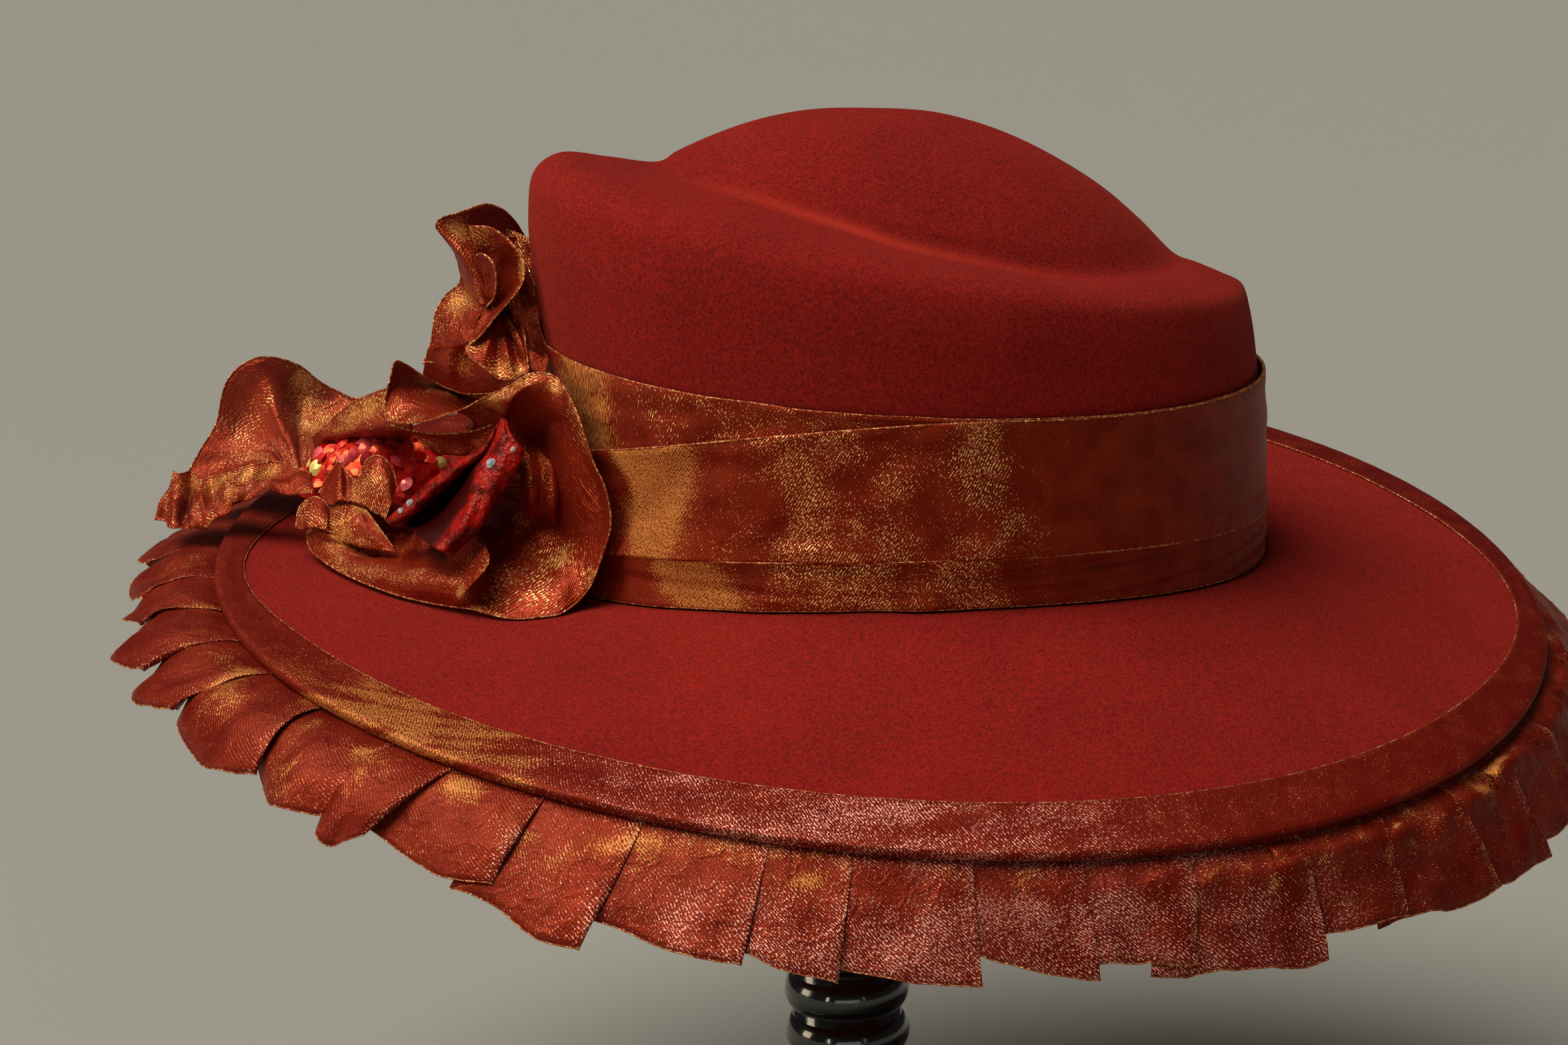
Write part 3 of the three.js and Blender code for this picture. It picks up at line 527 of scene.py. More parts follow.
def weave_group():
    tree = bpy.data.node_groups.new("organza_weave", "ShaderNodeTree")
    for label in ("Pitch", "Slant", "Cloud Size", "Fold Size", "Fold Depth"):
        tree.interface.new_socket(label, in_out="INPUT", socket_type="NodeSocketFloat")
    for label in ("Threads", "Cloud", "Glint", "Crease", "Height"):
        tree.interface.new_socket(label, in_out="OUTPUT", socket_type="NodeSocketFloat")
    nodes, links = tree.nodes, tree.links
    given, made = nodes.new("NodeGroupInput"), nodes.new("NodeGroupOutput")
    cloth = node(nodes, "ShaderNodeUVMap", uv_map="cloth")
    bend = node(nodes, "ShaderNodeTexNoise", noise_dimensions="2D", inputs={"Scale": 45.0, "Detail": 1.0})
    turn = node(nodes, "ShaderNodeVectorRotate", rotation_type="Z_AXIS")
    split = node(nodes, "ShaderNodeSeparateXYZ")
    links.new(cloth.outputs["UV"], bend.inputs["Vector"])
    links.new(cloth.outputs["UV"], turn.inputs["Vector"])
    links.new(given.outputs["Slant"], turn.inputs["Angle"])
    links.new(turn.outputs["Vector"], split.inputs["Vector"])
    stripes = []
    for axis, times in (("X", 1.0), ("Y", 1.7)):
        shift = node(nodes, "ShaderNodeMath", operation="MULTIPLY_ADD", inputs={1: 0.005})
        count = node(nodes, "ShaderNodeMath", operation="DIVIDE")
        turns = node(nodes, "ShaderNodeMath", operation="MULTIPLY", inputs={1: 2 * math.pi * times})
        wave = node(nodes, "ShaderNodeMath", operation="SINE")
        level = node(nodes, "ShaderNodeMath", operation="MULTIPLY_ADD", inputs={1: 0.5, 2: 0.5})
        links.new(bend.outputs["Fac"], shift.inputs[0])
        links.new(split.outputs[axis], shift.inputs[2])
        links.new(shift.outputs["Value"], count.inputs[0])
        links.new(given.outputs["Pitch"], count.inputs[1])
        links.new(count.outputs["Value"], turns.inputs[0])
        links.new(turns.outputs["Value"], wave.inputs[0])
        links.new(wave.outputs["Value"], level.inputs[0])
        stripes.append(level.outputs["Value"])
    threads = node(nodes, "ShaderNodeMix", inputs={"Factor": 0.35})
    links.new(stripes[0], threads.inputs["A"])
    links.new(stripes[1], threads.inputs["B"])
    cloud = node(nodes, "ShaderNodeTexNoise", noise_dimensions="2D", inputs={"Detail": 3.0, "Roughness": 0.6})
    links.new(cloth.outputs["UV"], cloud.inputs["Vector"])
    links.new(given.outputs["Cloud Size"], cloud.inputs["Scale"])
    per_pitch = node(nodes, "ShaderNodeMath", operation="DIVIDE", inputs={0: 1.0})
    drawn = node(nodes, "ShaderNodeVectorMath", operation="MULTIPLY")
    drawn.inputs[1].default_value = (1.6, 0.95, 1.0)
    dash = node(nodes, "ShaderNodeTexNoise", noise_dimensions="2D", inputs={"Detail": 1.0, "Roughness": 0.5})
    links.new(given.outputs["Pitch"], per_pitch.inputs[1])
    links.new(turn.outputs["Vector"], drawn.inputs[0])
    links.new(drawn.outputs["Vector"], dash.inputs["Vector"])
    links.new(per_pitch.outputs["Value"], dash.inputs["Scale"])
    strong = node(nodes, "ShaderNodeMath", operation="MULTIPLY", inputs={1: 0.45})
    glint = node(nodes, "ShaderNodeMath", operation="MULTIPLY_ADD", inputs={1: 1.5})
    height = node(nodes, "ShaderNodeMath", operation="MULTIPLY_ADD", inputs={1: 0.5})
    links.new(threads.outputs["Result"], strong.inputs[0])
    links.new(dash.outputs["Fac"], glint.inputs[0])
    links.new(strong.outputs["Value"], glint.inputs[2])
    links.new(threads.outputs["Result"], height.inputs[0])
    links.new(dash.outputs["Fac"], height.inputs[2])
    rumple = node(
        nodes, "ShaderNodeTexNoise", noise_dimensions="2D", inputs={"Detail": 2.0, "Distortion": 0.5}
    )
    middle = node(nodes, "ShaderNodeMath", operation="SUBTRACT", inputs={1: 0.5})
    apart = node(nodes, "ShaderNodeMath", operation="ABSOLUTE")
    ridge = remap(nodes, 0.0, 0.15, 1.0, 0.0)
    crease = node(nodes, "ShaderNodeMath", operation="POWER", inputs={1: 1.5})
    folded = node(nodes, "ShaderNodeMath", operation="MULTIPLY_ADD")
    links.new(cloth.outputs["UV"], rumple.inputs["Vector"])
    links.new(given.outputs["Fold Size"], rumple.inputs["Scale"])
    links.new(rumple.outputs["Fac"], middle.inputs[0])
    links.new(middle.outputs["Value"], apart.inputs[0])
    links.new(apart.outputs["Value"], ridge.inputs["Value"])
    links.new(ridge.outputs["Result"], crease.inputs[0])
    links.new(crease.outputs["Value"], folded.inputs[0])
    links.new(given.outputs["Fold Depth"], folded.inputs[1])
    links.new(height.outputs["Value"], folded.inputs[2])
    links.new(crease.outputs["Value"], made.inputs["Crease"])
    links.new(threads.outputs["Result"], made.inputs["Threads"])
    links.new(cloud.outputs["Fac"], made.inputs["Cloud"])
    links.new(glint.outputs["Value"], made.inputs["Glint"])
    links.new(folded.outputs["Value"], made.inputs["Height"])
    return tree


organza_weave = weave_group()


# Paints the cloth's two masks: gold, which is partly random gold weft and partly painted reflection, and
# painted glints.
def paint_gold_and_glints(mesh, gold_and_painted_sheen, painted_glints):
    for label, amount in (("gold_and_painted_sheen", gold_and_painted_sheen), ("painted_glints", painted_glints)):
        paint(mesh, label, np.clip(np.broadcast_to(amount, gold_and_painted_sheen.shape), 0, 1))


def organza(
    name,
    slant,
    cover,
    glint,
    copper=0.25,
    rough=0.34,
    satin=0.3,
    metal=0.0,
    folds=0.4,
    ridges=0.05,
    grains=1.7,
):
    material, nodes, links, shader = new_material(name)
    weave = node(
        nodes,
        "ShaderNodeGroup",
        node_tree=organza_weave,
        inputs={
            "Pitch": thread_pitch / 1000,
            "Slant": slant,
            "Cloud Size": 90.0,
            "Fold Size": 120.0,
            "Fold Depth": folds,
        },
    )
    # The gold mask mixes the weft's gold into the colour, partly as random patches and partly as painted
    # reflection.
    gold_and_painted_sheen = node(nodes, "ShaderNodeAttribute", attribute_name="gold_and_painted_sheen")
    painted_glints = node(nodes, "ShaderNodeAttribute", attribute_name="painted_glints")
    drifted = remap(nodes, 0.35, 0.7, copper - 0.3, copper + 0.4)
    mixed = node(nodes, "ShaderNodeMath", operation="MULTIPLY_ADD", use_clamp=True, inputs={1: 0.35})
    shade = node(nodes, "ShaderNodeMix", data_type="RGBA")
    shade.inputs["A"].default_value = organza_red
    shade.inputs["B"].default_value = organza_copper
    ridged = node(nodes, "ShaderNodeMath", operation="MULTIPLY_ADD", inputs={1: ridges})
    grainy = node(nodes, "ShaderNodeMath", operation="MULTIPLY_ADD", inputs={1: 0.8})
    gilded = remap(nodes, 1.26, 1.58, 0.0, 0.92)
    golden = node(nodes, "ShaderNodeMix", data_type="RGBA")
    golden.inputs["B"].default_value = organza_gold
    broad = node(nodes, "ShaderNodeMath", operation="MULTIPLY_ADD", inputs={1: 0.4})
    # Painted glints: where the glint mask and the weave run high, the base colour turns to the glint colour.
    lit = node(nodes, "ShaderNodeMath", operation="MULTIPLY_ADD", inputs={1: 0.45})
    spark = remap(nodes, grains, 1.94)
    sparkled = node(nodes, "ShaderNodeMix", data_type="RGBA")
    sparkled.inputs["B"].default_value = glint
    gloss = remap(nodes, 0.0, 0.85, rough + 0.05, rough - 0.08)
    bump = node(nodes, "ShaderNodeBump", inputs={"Strength": 0.45, "Distance": 0.00035})
    tangent = node(nodes, "ShaderNodeTangent", direction_type="UV_MAP", uv_map="cloth")
    links.new(weave.outputs["Cloud"], drifted.inputs["Value"])
    links.new(weave.outputs["Threads"], mixed.inputs[0])
    links.new(drifted.outputs["Result"], mixed.inputs[2])
    links.new(mixed.outputs["Value"], shade.inputs["Factor"])
    links.new(weave.outputs["Crease"], ridged.inputs[0])
    links.new(gold_and_painted_sheen.outputs["Fac"], ridged.inputs[2])
    links.new(weave.outputs["Glint"], grainy.inputs[0])
    links.new(ridged.outputs["Value"], grainy.inputs[2])
    links.new(grainy.outputs["Value"], gilded.inputs["Value"])
    links.new(gilded.outputs["Result"], golden.inputs["Factor"])
    links.new(shade.outputs["Result"], golden.inputs["A"])
    links.new(weave.outputs["Cloud"], broad.inputs[0])
    links.new(weave.outputs["Glint"], broad.inputs[2])
    links.new(painted_glints.outputs["Fac"], lit.inputs[0])
    links.new(broad.outputs["Value"], lit.inputs[2])
    links.new(lit.outputs["Value"], spark.inputs["Value"])
    links.new(spark.outputs["Result"], sparkled.inputs["Factor"])
    links.new(golden.outputs["Result"], sparkled.inputs["A"])
    links.new(sparkled.outputs["Result"], shader.inputs["Base Color"])
    links.new(spark.outputs["Result"], gloss.inputs["Value"])
    links.new(gloss.outputs["Result"], shader.inputs["Roughness"])
    links.new(weave.outputs["Height"], bump.inputs["Height"])
    links.new(bump.outputs["Normal"], shader.inputs["Normal"])
    links.new(tangent.outputs["Tangent"], shader.inputs["Tangent"])
    if cover < 1:
        seen = remap(nodes, 0.0, 1.0, cover - 0.14, cover + 0.12)
        links.new(weave.outputs["Threads"], seen.inputs["Value"])
        links.new(seen.outputs["Result"], shader.inputs["Alpha"])
    if metal:
        thread = remap(nodes, 0.0, 1.0, satin, satin + metal)
        links.new(spark.outputs["Result"], thread.inputs["Value"])
        links.new(thread.outputs["Result"], shader.inputs["Metallic"])
    else:
        shader.inputs["Metallic"].default_value = satin
    shader.inputs["IOR"].default_value = 1.5
    shader.inputs["Specular IOR Level"].default_value = 0.4
    shader.inputs["Specular Tint"].default_value = (1.0, 0.36, 0.12, 1)
    shader.inputs["Anisotropic"].default_value = 0.5
    shader.inputs["Sheen Weight"].default_value = 0.04
    shader.inputs["Sheen Roughness"].default_value = 0.3
    shader.inputs["Sheen Tint"].default_value = (1.0, 0.3, 0.1, 1)
    return material


def glitter():
    material, nodes, links, shader = new_material("woven_edge")
    where = node(nodes, "ShaderNodeTexCoord")
    grain = node(nodes, "ShaderNodeTexVoronoi", inputs={"Scale": 1100.0})
    pick = node(nodes, "ShaderNodeSeparateColor")
    ramp = node(nodes, "ShaderNodeValToRGB")
    ramp.color_ramp.elements[0].position = 0.4
    ramp.color_ramp.elements[0].color = (0.3, 0.045, 0.014, 1)
    ramp.color_ramp.elements[1].position = 0.95
    ramp.color_ramp.elements[1].color = (0.6, 0.3, 0.12, 1)
    bump = node(nodes, "ShaderNodeBump", inputs={"Strength": 0.7, "Distance": 0.0005})
    links.new(where.outputs["Object"], grain.inputs["Vector"])
    links.new(grain.outputs["Color"], pick.inputs["Color"])
    links.new(pick.outputs["Red"], ramp.inputs["Fac"])
    links.new(ramp.outputs["Color"], shader.inputs["Base Color"])
    links.new(grain.outputs["Distance"], bump.inputs["Height"])
    links.new(bump.outputs["Normal"], shader.inputs["Normal"])
    links.new(pick.outputs["Green"], shader.inputs["Roughness"])
    shader.inputs["Metallic"].default_value = 0.55
    shader.inputs["Specular Tint"].default_value = (1.0, 0.58, 0.24, 1)
    return material


woven_edge = glitter()

edge_tree, nodes, links, given, made = tree_with(
    "ribbon_edge",
    ("Geometry", "NodeSocketGeometry"),
    ("Radius", "NodeSocketFloat"),
    ("Sides", "NodeSocketInt"),
    ("Material", "NodeSocketMaterial"),
)
path = node(nodes, "GeometryNodeMeshToCurve")
section = node(nodes, "GeometryNodeCurvePrimitiveCircle")
tube = node(nodes, "GeometryNodeCurveToMesh", inputs={"Fill Caps": True})
links.new(given.outputs["Geometry"], path.inputs["Mesh"])
links.new(given.outputs["Sides"], section.inputs["Resolution"])
links.new(given.outputs["Radius"], section.inputs["Radius"])
links.new(path.outputs["Curve"], tube.inputs["Curve"])
links.new(section.outputs["Curve"], tube.inputs["Profile Curve"])
dress(nodes, links, given, made, tube.outputs["Mesh"])


def ribbon_edge(name, lines, radius, ring, material):
    points, edges = [], []
    for line in lines:
        first = len(points)
        points += np.asarray(line).tolist()
        count = len(line)
        edges += [(first + i, first + (i + 1) % count) for i in range(count if ring else count - 1)]
    base = bpy.data.meshes.new(name + "_line")
    base.from_pydata(points, edges, [])
    return grown(name, edge_tree, base, {"Radius": radius / 1000, "Sides": 6, "Material": material}, material)


def facing_angle(grid):
    return np.degrees(np.arctan2(grid[..., 0], -grid[..., 1]))


band_angle = np.linspace(0, 2 * math.pi, 360, endpoint=False)
band_top = 54 - 8 * np.cos(band_angle)
band_low = foot_height(band_angle) + 15
to_flowers = (1 - np.cos(band_angle)) / 2
parted = np.clip(to_flowers - 0.38, 0, 1)
band_upper = band_top - 0.4 - 10 * parted - 62 * parted**2
lap = np.minimum(5.0, 0.8 * (band_top - band_upper))
hugging = np.clip(0.2 + 1.9 * to_flowers, 0, 1)
# The band's section from its foot to its top edge: height and distance off the felt.
band_section = [
    (foot_height(band_angle) + 0.7, 1.9),
    (foot_height(band_angle) + 5, 1.5),
    (band_low - 2, 1.35),
    (band_low + 3.5, 1.3),
    (band_low + 4.5, 1.7),
    (band_low + 3, 2.2),
    (band_low - 0.4, 2.7),
    (band_low - 0.3, 3.3),
    (band_low + 1.2, 3.2),
    (band_low + 6, 2.5),
    (band_low * 0.5 + band_upper * 0.5, 2.3),
    (band_upper - 5, 2.5),
    (band_upper - 0.8, 3.1),
    (band_upper + 0.2, 2.9),
    (band_upper - 0.6, 2.3),
    (band_upper - lap, 1.9),
    (band_upper - lap - 0.5, 1.5),
    (band_upper - lap * 0.4, 1.35),
    (band_upper * 0.5 + band_top * 0.5, 1.35),
    (band_top - 0.6, 1.4),
    (band_top, 1.2),
]
band_knots = [wall_point(band_angle, height, 1.0 + (off - 1.0) * hugging) for height, off in band_section]
band_grid = curve_through(band_knots, 130)
around = np.stack([band_grid[..., 0] / 70, band_grid[..., 1] / 70, band_grid[..., 2] / 5], -1)
crinkle = drift(around, 1.0, 1.0, 1.3) * 0.4 + drift(band_grid / np.array([22, 22, 30]), 1.0, 1.0, 5.2) * 0.35
slant = facing_angle(band_grid) * 1.5 - band_grid[..., 2] * 1.1
fan = bell(facing_angle(band_grid), -15, 38)
crinkle += fan * 0.55 * (np.sin(slant / 7.0 + 3 * crinkle) + 0.6 * np.sin(slant / 3.7 + 4 * crinkle))
crinkle[:36] += drift(around[:36] * [0.8, 0.8, 1.6], 1.0, 0.7, 7.3)
band_grid = band_grid + unit(band_grid * [1, 1, 0]) * crinkle[..., None]
band_u, band_v = lengths(band_grid, True)
band_mesh = grid_mesh("hat_band", on_hat(band_grid), band_u, band_v, ring=True)
# Painted light on the band: gold where the light from the left reflects off the weft, some random gold
# patches, and painted glint streaks where the front lights reflect.
facing = facing_angle(band_grid)
patch = drift(band_grid, 12.0, 0.9, 8.0) + 0.5 * drift(band_grid, 5.0, 1.0, 3.0)
wander = facing + 9 * drift(band_grid, 16.0, 1.0, 4.0)
lap_row = np.linspace(0, 1, len(band_grid))[:, None]
gold_reflection_centre = np.interp(lap_row, [0, 0.3, 0.7, 0.75, 1], [-33, -47, -42, -60, -62])
glint_streak_centre = np.interp(lap_row, [0, 0.25, 0.3, 0.5, 0.72, 0.75, 1], [-10, -14, -18, -14, -18, -30, -44])
gold_and_painted_sheen = np.clip(1.3 * bell(facing + 3 * patch, gold_reflection_centre, 8) * (0.8 + 0.5 * patch), 0, 0.7)
painted_glints = bell(wander, glint_streak_centre, 8) * (0.7 + 0.6 * patch)
lower_laps = np.interp(lap_row, [0, 0.72, 0.8, 1], [0.8, 1, 0.2, 0])
painted_glints += bell(wander, 15, 4.5) * (0.6 + 0.6 * patch) * lower_laps
painted_glints += 0.75 * np.sqrt(np.clip(1 - np.abs(facing + 8) / 34, 0, 1)) * (0.8 + patch)
painted_glints += 0.2 * np.interp(lap_row, [0, 0.27, 0.3], [1, 1, 0]) * bell(facing, -2, 30)
paint_gold_and_glints(band_mesh, gold_and_painted_sheen + np.clip(patch - 0.4, 0, 1) * 0.3, painted_glints)
band_cloth = organza("band_organza", 0.62, 1.0, gold_glint, copper=0.3, metal=0.45, folds=0.25, grains=1.74)
hat_band = thicken(add_piece("hat_band_ribbon", band_mesh, band_cloth), ribbon_wall, 1.0)
band_folds = [
    wall_point(band_angle, band_upper + 0.3, 1.2 + 1.9 * hugging),
    wall_point(band_angle, band_low - 0.5, 1.2 + 2.2 * hugging),
]
band_lines = [on_hat(line) for line in (band_grid[-1], band_grid[0], *band_folds)]
band_edges = ribbon_edge("hat_band_edges", band_lines, 0.3, True, woven_edge)
for piece in (hat_band, band_edges):
    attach(piece, "root")
    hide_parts("hat_band")

# Brim binding: the same organza ribbon folded over the brim's edge and sewn through. Its inner selvedge lies
# on the felt as a thin bright line, and the curve puckers it a little.
binding_angle = np.linspace(0, 2 * math.pi, 720, endpoint=False)
binding_share = 0.83 + 0.09 * bell(binding_angle, math.radians(186), math.radians(17))
binding_share += 0.08 * np.exp((np.cos(binding_angle - math.radians(2)) - 1) * 14)
# The binding's section from its inner selvedge round the edge: share of the brim, height and distance out.
binding_section = [
    (binding_share, 0.45, 0.0),
    (binding_share + 0.004, 0.75, 0.0),
    (binding_share * 0.7 + 0.3, 0.7, 0.0),
    (binding_share * 0.35 + 0.65, 0.75, 0.0),
    (0.975, 0.7, 0.0),
    (1.0, 0.25, 0.45),
    (1.0, -1.0, 0.75),
    (1.0, -2.2, 0.5),
    (1.0, -2.8, 0.0),
    (binding_share * 0.5 + 0.5, -2.75, 0.0),
    (binding_share, -2.6, 0.0),
]
binding_knots = []
for share, up, out in binding_section:
    share = np.broadcast_to(share, binding_angle.shape)
    away, off, _ = brim_frame(binding_angle, share)
    binding_knots.append(brim_top(binding_angle, share) + off * up + away * out)
binding_grid = curve_through(np.stack(binding_knots), 44)
pucker = drift(binding_grid, 9.0, 1.0, 2.2)
lifted = np.interp(np.linspace(0, 1, 44), [0, 0.06, 0.25, 0.42, 0.5, 1], [0.15, 0.35, 0.45, 0.3, 0.1, 0.1])
binding_grid[..., 2] += np.abs(pucker) * lifted[:, None]
binding_u, binding_v = lengths(binding_grid, True)
binding_mesh = grid_mesh(
    "brim_binding", on_hat(binding_grid)[::-1], binding_u[::-1], binding_v[::-1], ring=True
)
# Painted light on the binding: gold reflection on the side that faces left and painted glints on the front,
# with random gold patches and streaks.
facing = facing_angle(binding_grid)[::-1]
patch = drift(binding_grid, 12.0, 1.0, 8.5)[::-1]
along, across = binding_u[:, :-1], binding_v[:, :-1]
slanted = np.stack([along * 300 + across * 900, across * 120, along * 20], -1)
streaks = drift(slanted, 3.0, 1.0, 3.1)[::-1]
gold_and_painted_sheen = np.clip(bell(facing, -48, 18) * (0.56 + 0.5 * patch + 0.6 * streaks), 0, 0.64)
gold_and_painted_sheen += np.clip(patch - 0.3, 0, 1) * 0.3
painted_glints = bell(facing, -4, 26) * (0.9 + 0.5 * patch + 0.5 * streaks) + 0.1
paint_gold_and_glints(binding_mesh, gold_and_painted_sheen, painted_glints)
binding_cloth = organza("binding_organza", 0.75, 1.0, pink_glint, copper=-0.1, folds=0.5)
binding = thicken(add_piece("binding_ribbon", binding_mesh, binding_cloth), ribbon_wall, -1.0)
binding_edge = ribbon_edge("binding_selvedge", [on_hat(binding_grid[0])], 0.24, True, woven_edge)
for piece in (binding, binding_edge):
    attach(piece, "root")
    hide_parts("brim_binding")

# Brim ruffle: a longer ribbon, knife-pleated to the right and sewn under the brim's edge. Each pleat is a
# panel, the fold that ends it and an underlay that turns back. At the flower end the pleats stand up in soft
# flutes.
ruffle_drop, ruffle_under, seam_allowance, tuck_share = 28.0, 3.4, 4.0, 0.34
flute_middle, puff_middle = math.radians(207), math.radians(325)
# Each pleat's fold: its angle at the seam, the ribbon's reach there, and how far it swings round by the hem.
measured_pleats = [
    (194.9, 30.0, -5.0), (202.3, 33.0, -3.0), (210.3, 33.5, -3.5), (218.4, 33.0, 1.0), (227.9, 31.0, 0.0),
    (234.5, 34.0, -3.0), (243.0, 29.0, -0.8), (251.4, 37.0, -1.6), (261.3, 32.5, -0.4), (267.7, 33.5, -0.2),
    (276.8, 32.5, 0.5), (285.4, 30.0, 0.3), (294.2, 28.5, -1.2), (304.3, 33.0, -0.8), (313.1, 28.0, -1.2),
]
random = np.random.default_rng(7)
far_steps, near_end = 28, measured_pleats[-1][0]
far_pitch = (measured_pleats[0][0] + 360 - near_end) / far_steps
pleats = measured_pleats + [
    (near_end + far_pitch * i, random.uniform(29, 33), random.uniform(-1, 0.5)) for i in range(1, far_steps)
]


def sheet_normals(grid):
    across = np.gradient(grid, axis=1)
    along = np.gradient(grid, axis=0)
    normal = np.cross(across, along)
    return normal / np.maximum(np.linalg.norm(normal, axis=-1, keepdims=True), 1e-9)


fold_angles = np.radians([pleat[0] for pleat in pleats])
pleat_count = len(pleats)
panel_steps, fold_steps, back_steps = 16, 5, 7
rows = np.linspace(0, 1, 20)
ruffle_angle, ruffle_level, ruffle_reach, ruffle_swing, ruffle_soft, ruffle_ridge = [], [], [], [], [], []
for i in range(pleat_count):
    before = fold_angles[i - 1] - (2 * math.pi if i == 0 else 0)
    here = fold_angles[i]
    after = fold_angles[(i + 1) % pleat_count] + (2 * math.pi if i == pleat_count - 1 else 0)
    wide = here - before
    tuck_in, tuck_out = tuck_share * wide, tuck_share * (after - here)
    soft = np.clip((np.cos(here - flute_middle) - 0.76) / 0.13, 0, 1)
    high = 1.0 + (2.2 + random.uniform(-0.8, 0.8)) * soft + random.uniform(-0.2, 0.4)
    low = -0.5 - 1.7 * soft
    t = np.linspace(0, 1, panel_steps)
    swing = t**1.25 * (1 - soft) + (0.5 - 0.5 * np.cos(math.pi * t)) * soft
    turn = np.linspace(0, math.pi, fold_steps + 2)[1:-1]
    back = np.linspace(0, 1, back_steps + 2)[1:-1]
    fold = 0.3 + 0.5 * soft
    ripple = 1.7 * soft * np.sin(8.5 * t + 2.1 * i) * 4 * t * (1 - t)
    ruffle_angle += [
        before - tuck_in + (wide + tuck_in) * t,
        here + 0.003 * np.sin(turn),
        here - tuck_out * back,
    ]
    ruffle_level += [
        low + (high - low) * swing + ripple,
        high - fold * (1 - np.cos(turn)),
        (high - 2 * fold) + (low - high + 2 * fold) * back,
    ]
    tip, next_tip = pleats[i][1] - 1.2 * soft, pleats[(i + 1) % pleat_count][1] - 1.2 * soft
    dip = tip - random.uniform(3.0, 6.5) * (0.45 if here > math.radians(288) else 1.0 + 0.25 * soft)
    rise = np.clip((t - 0.18) / 0.62, 0, 1)
    hem = dip + (tip - dip) * rise**2 * (3 - 2 * rise)
    hem = hem + (0.5 + 0.6 * soft) * np.sin(t * random.uniform(7, 11) + i)
    hem = hem + (tip + 2.5 - 9.5 * ((t - 0.56) / 0.5) ** 2 - hem) * soft
    ruffle_reach += [hem, np.full(fold_steps, hem[-1]), hem[-1] + (next_tip - 4 - hem[-1]) * back]
    last_lean, lean, next_lean = pleats[i - 1][2], pleats[i][2], pleats[(i + 1) % pleat_count][2]
    ruffle_swing += [
        last_lean + (lean - last_lean) * t,
        np.full(fold_steps, lean),
        lean + (next_lean - lean) * 0.2 * back,
    ]
    ruffle_soft.append(np.full(panel_steps + fold_steps + back_steps, soft))
    ruffle_ridge += [np.clip((t - 0.9) * 10, 0, 1), np.ones(fold_steps), np.zeros(back_steps)]
ruffle_angle, ruffle_level, ruffle_reach, ruffle_swing, ruffle_soft, ruffle_ridge = (
    np.concatenate(parts)
    for parts in (ruffle_angle, ruffle_level, ruffle_reach, ruffle_swing, ruffle_soft, ruffle_ridge)
)
wrapped = np.concatenate([ruffle_soft[-40:], ruffle_soft, ruffle_soft[:40]])
ruffle_soft = np.convolve(wrapped, np.ones(41) / 41, "same")[40:-40]
ruffle_rows = []
for share in rows:
    angle = ruffle_angle + np.radians(ruffle_swing) * share**1.5
    away, off, _ = brim_frame(angle, np.ones_like(angle))
    run = -seam_allowance + (ruffle_reach + seam_allowance) * share
    steps = np.linspace(0, 1, 24)[:, None] * np.maximum(run, 0)
    curl = (steps / ruffle_reach - 0.5) * (10 + 66 * ruffle_soft)
    slope = np.radians(ruffle_drop + curl - 4 * ruffle_soft)
    out = np.cos(slope).mean(0) * np.maximum(run, 0) + np.minimum(run, 0)
    down = np.sin(slope).mean(0) * np.maximum(run, 0)
    face = off * np.cos(slope[-1])[:, None] + away * np.sin(slope[-1])[:, None]
    stand = ruffle_level * (0.1 + 0.9 * np.clip(run / ruffle_reach, 0, 1) ** (1.3 + 1.0 * ruffle_soft))
    seam = brim_top(angle, 1.0) - off * ruffle_under
    ruffle_rows.append(seam + away * out[:, None] - off * down[:, None] + face * stand[:, None])
ruffle_grid = np.stack(ruffle_rows)
flat_cloth = np.stack(np.broadcast_arrays(ruffle_angle * 187, rows[:, None] * 34, ruffle_level * 3), -1)
puffed = np.clip((np.cos(ruffle_angle - puff_middle) - 0.68) / 0.22, 0, 1)
crumple = drift(flat_cloth, 11.0, 1.0, 4.0) * (1.1 + 1.3 * ruffle_soft + 0.9 * puffed)
crumple += drift(flat_cloth, 5.0, 0.6, 6.0) * (1 + puffed)
crumple += 1.4 * puffed * np.sin(math.pi * rows[:, None] ** 0.8)
bulge = bell(rows[:, None], 0.38, 0.14) * puffed * (2.6 + 3.0 * drift(flat_cloth, 7.0, 1.0, 9.0))
ruffle_grid = ruffle_grid + off[None] * (crumple * rows[:, None] ** 1.2 + bulge)[..., None]
ruffle_u, ruffle_v = lengths(ruffle_grid, True)
ruffle_mesh = grid_mesh("brim_ruffle", on_hat(ruffle_grid)[::-1], ruffle_u[::-1], ruffle_v[::-1], ring=True)
# Painted light on the ruffle: gold flashes near the seam where panels face the key light, gold and glints on
# fold ridges, painted glints facing the front, and random gold patches.
facing = facing_angle(ruffle_grid)[::-1]
patch = (drift(ruffle_grid, 14.0, 1.0, 8.8) + 0.5 * drift(ruffle_grid, 6.0, 1.0, 2.8))[::-1]
near_seam = (bell(rows, 0.32, 0.16)[:, None] * np.ones(len(ruffle_angle)))[::-1]
facing_key_light = np.clip(8 * (np.abs(sheet_normals(ruffle_grid) @ [-0.34, -0.1, 0.93]) - 0.88), 0, 1)[::-1]
flash = bell(facing, 52, 24) * bell(rows, 0.34, 0.14)[::-1, None] * facing_key_light
fleck = drift(ruffle_grid, 3.5, 1.0, 5.5)[::-1]
gold_and_painted_sheen = near_seam * np.clip(0.1 + 0.7 * patch, 0, 0.4) + np.clip(patch - 0.35, 0, 0.4)
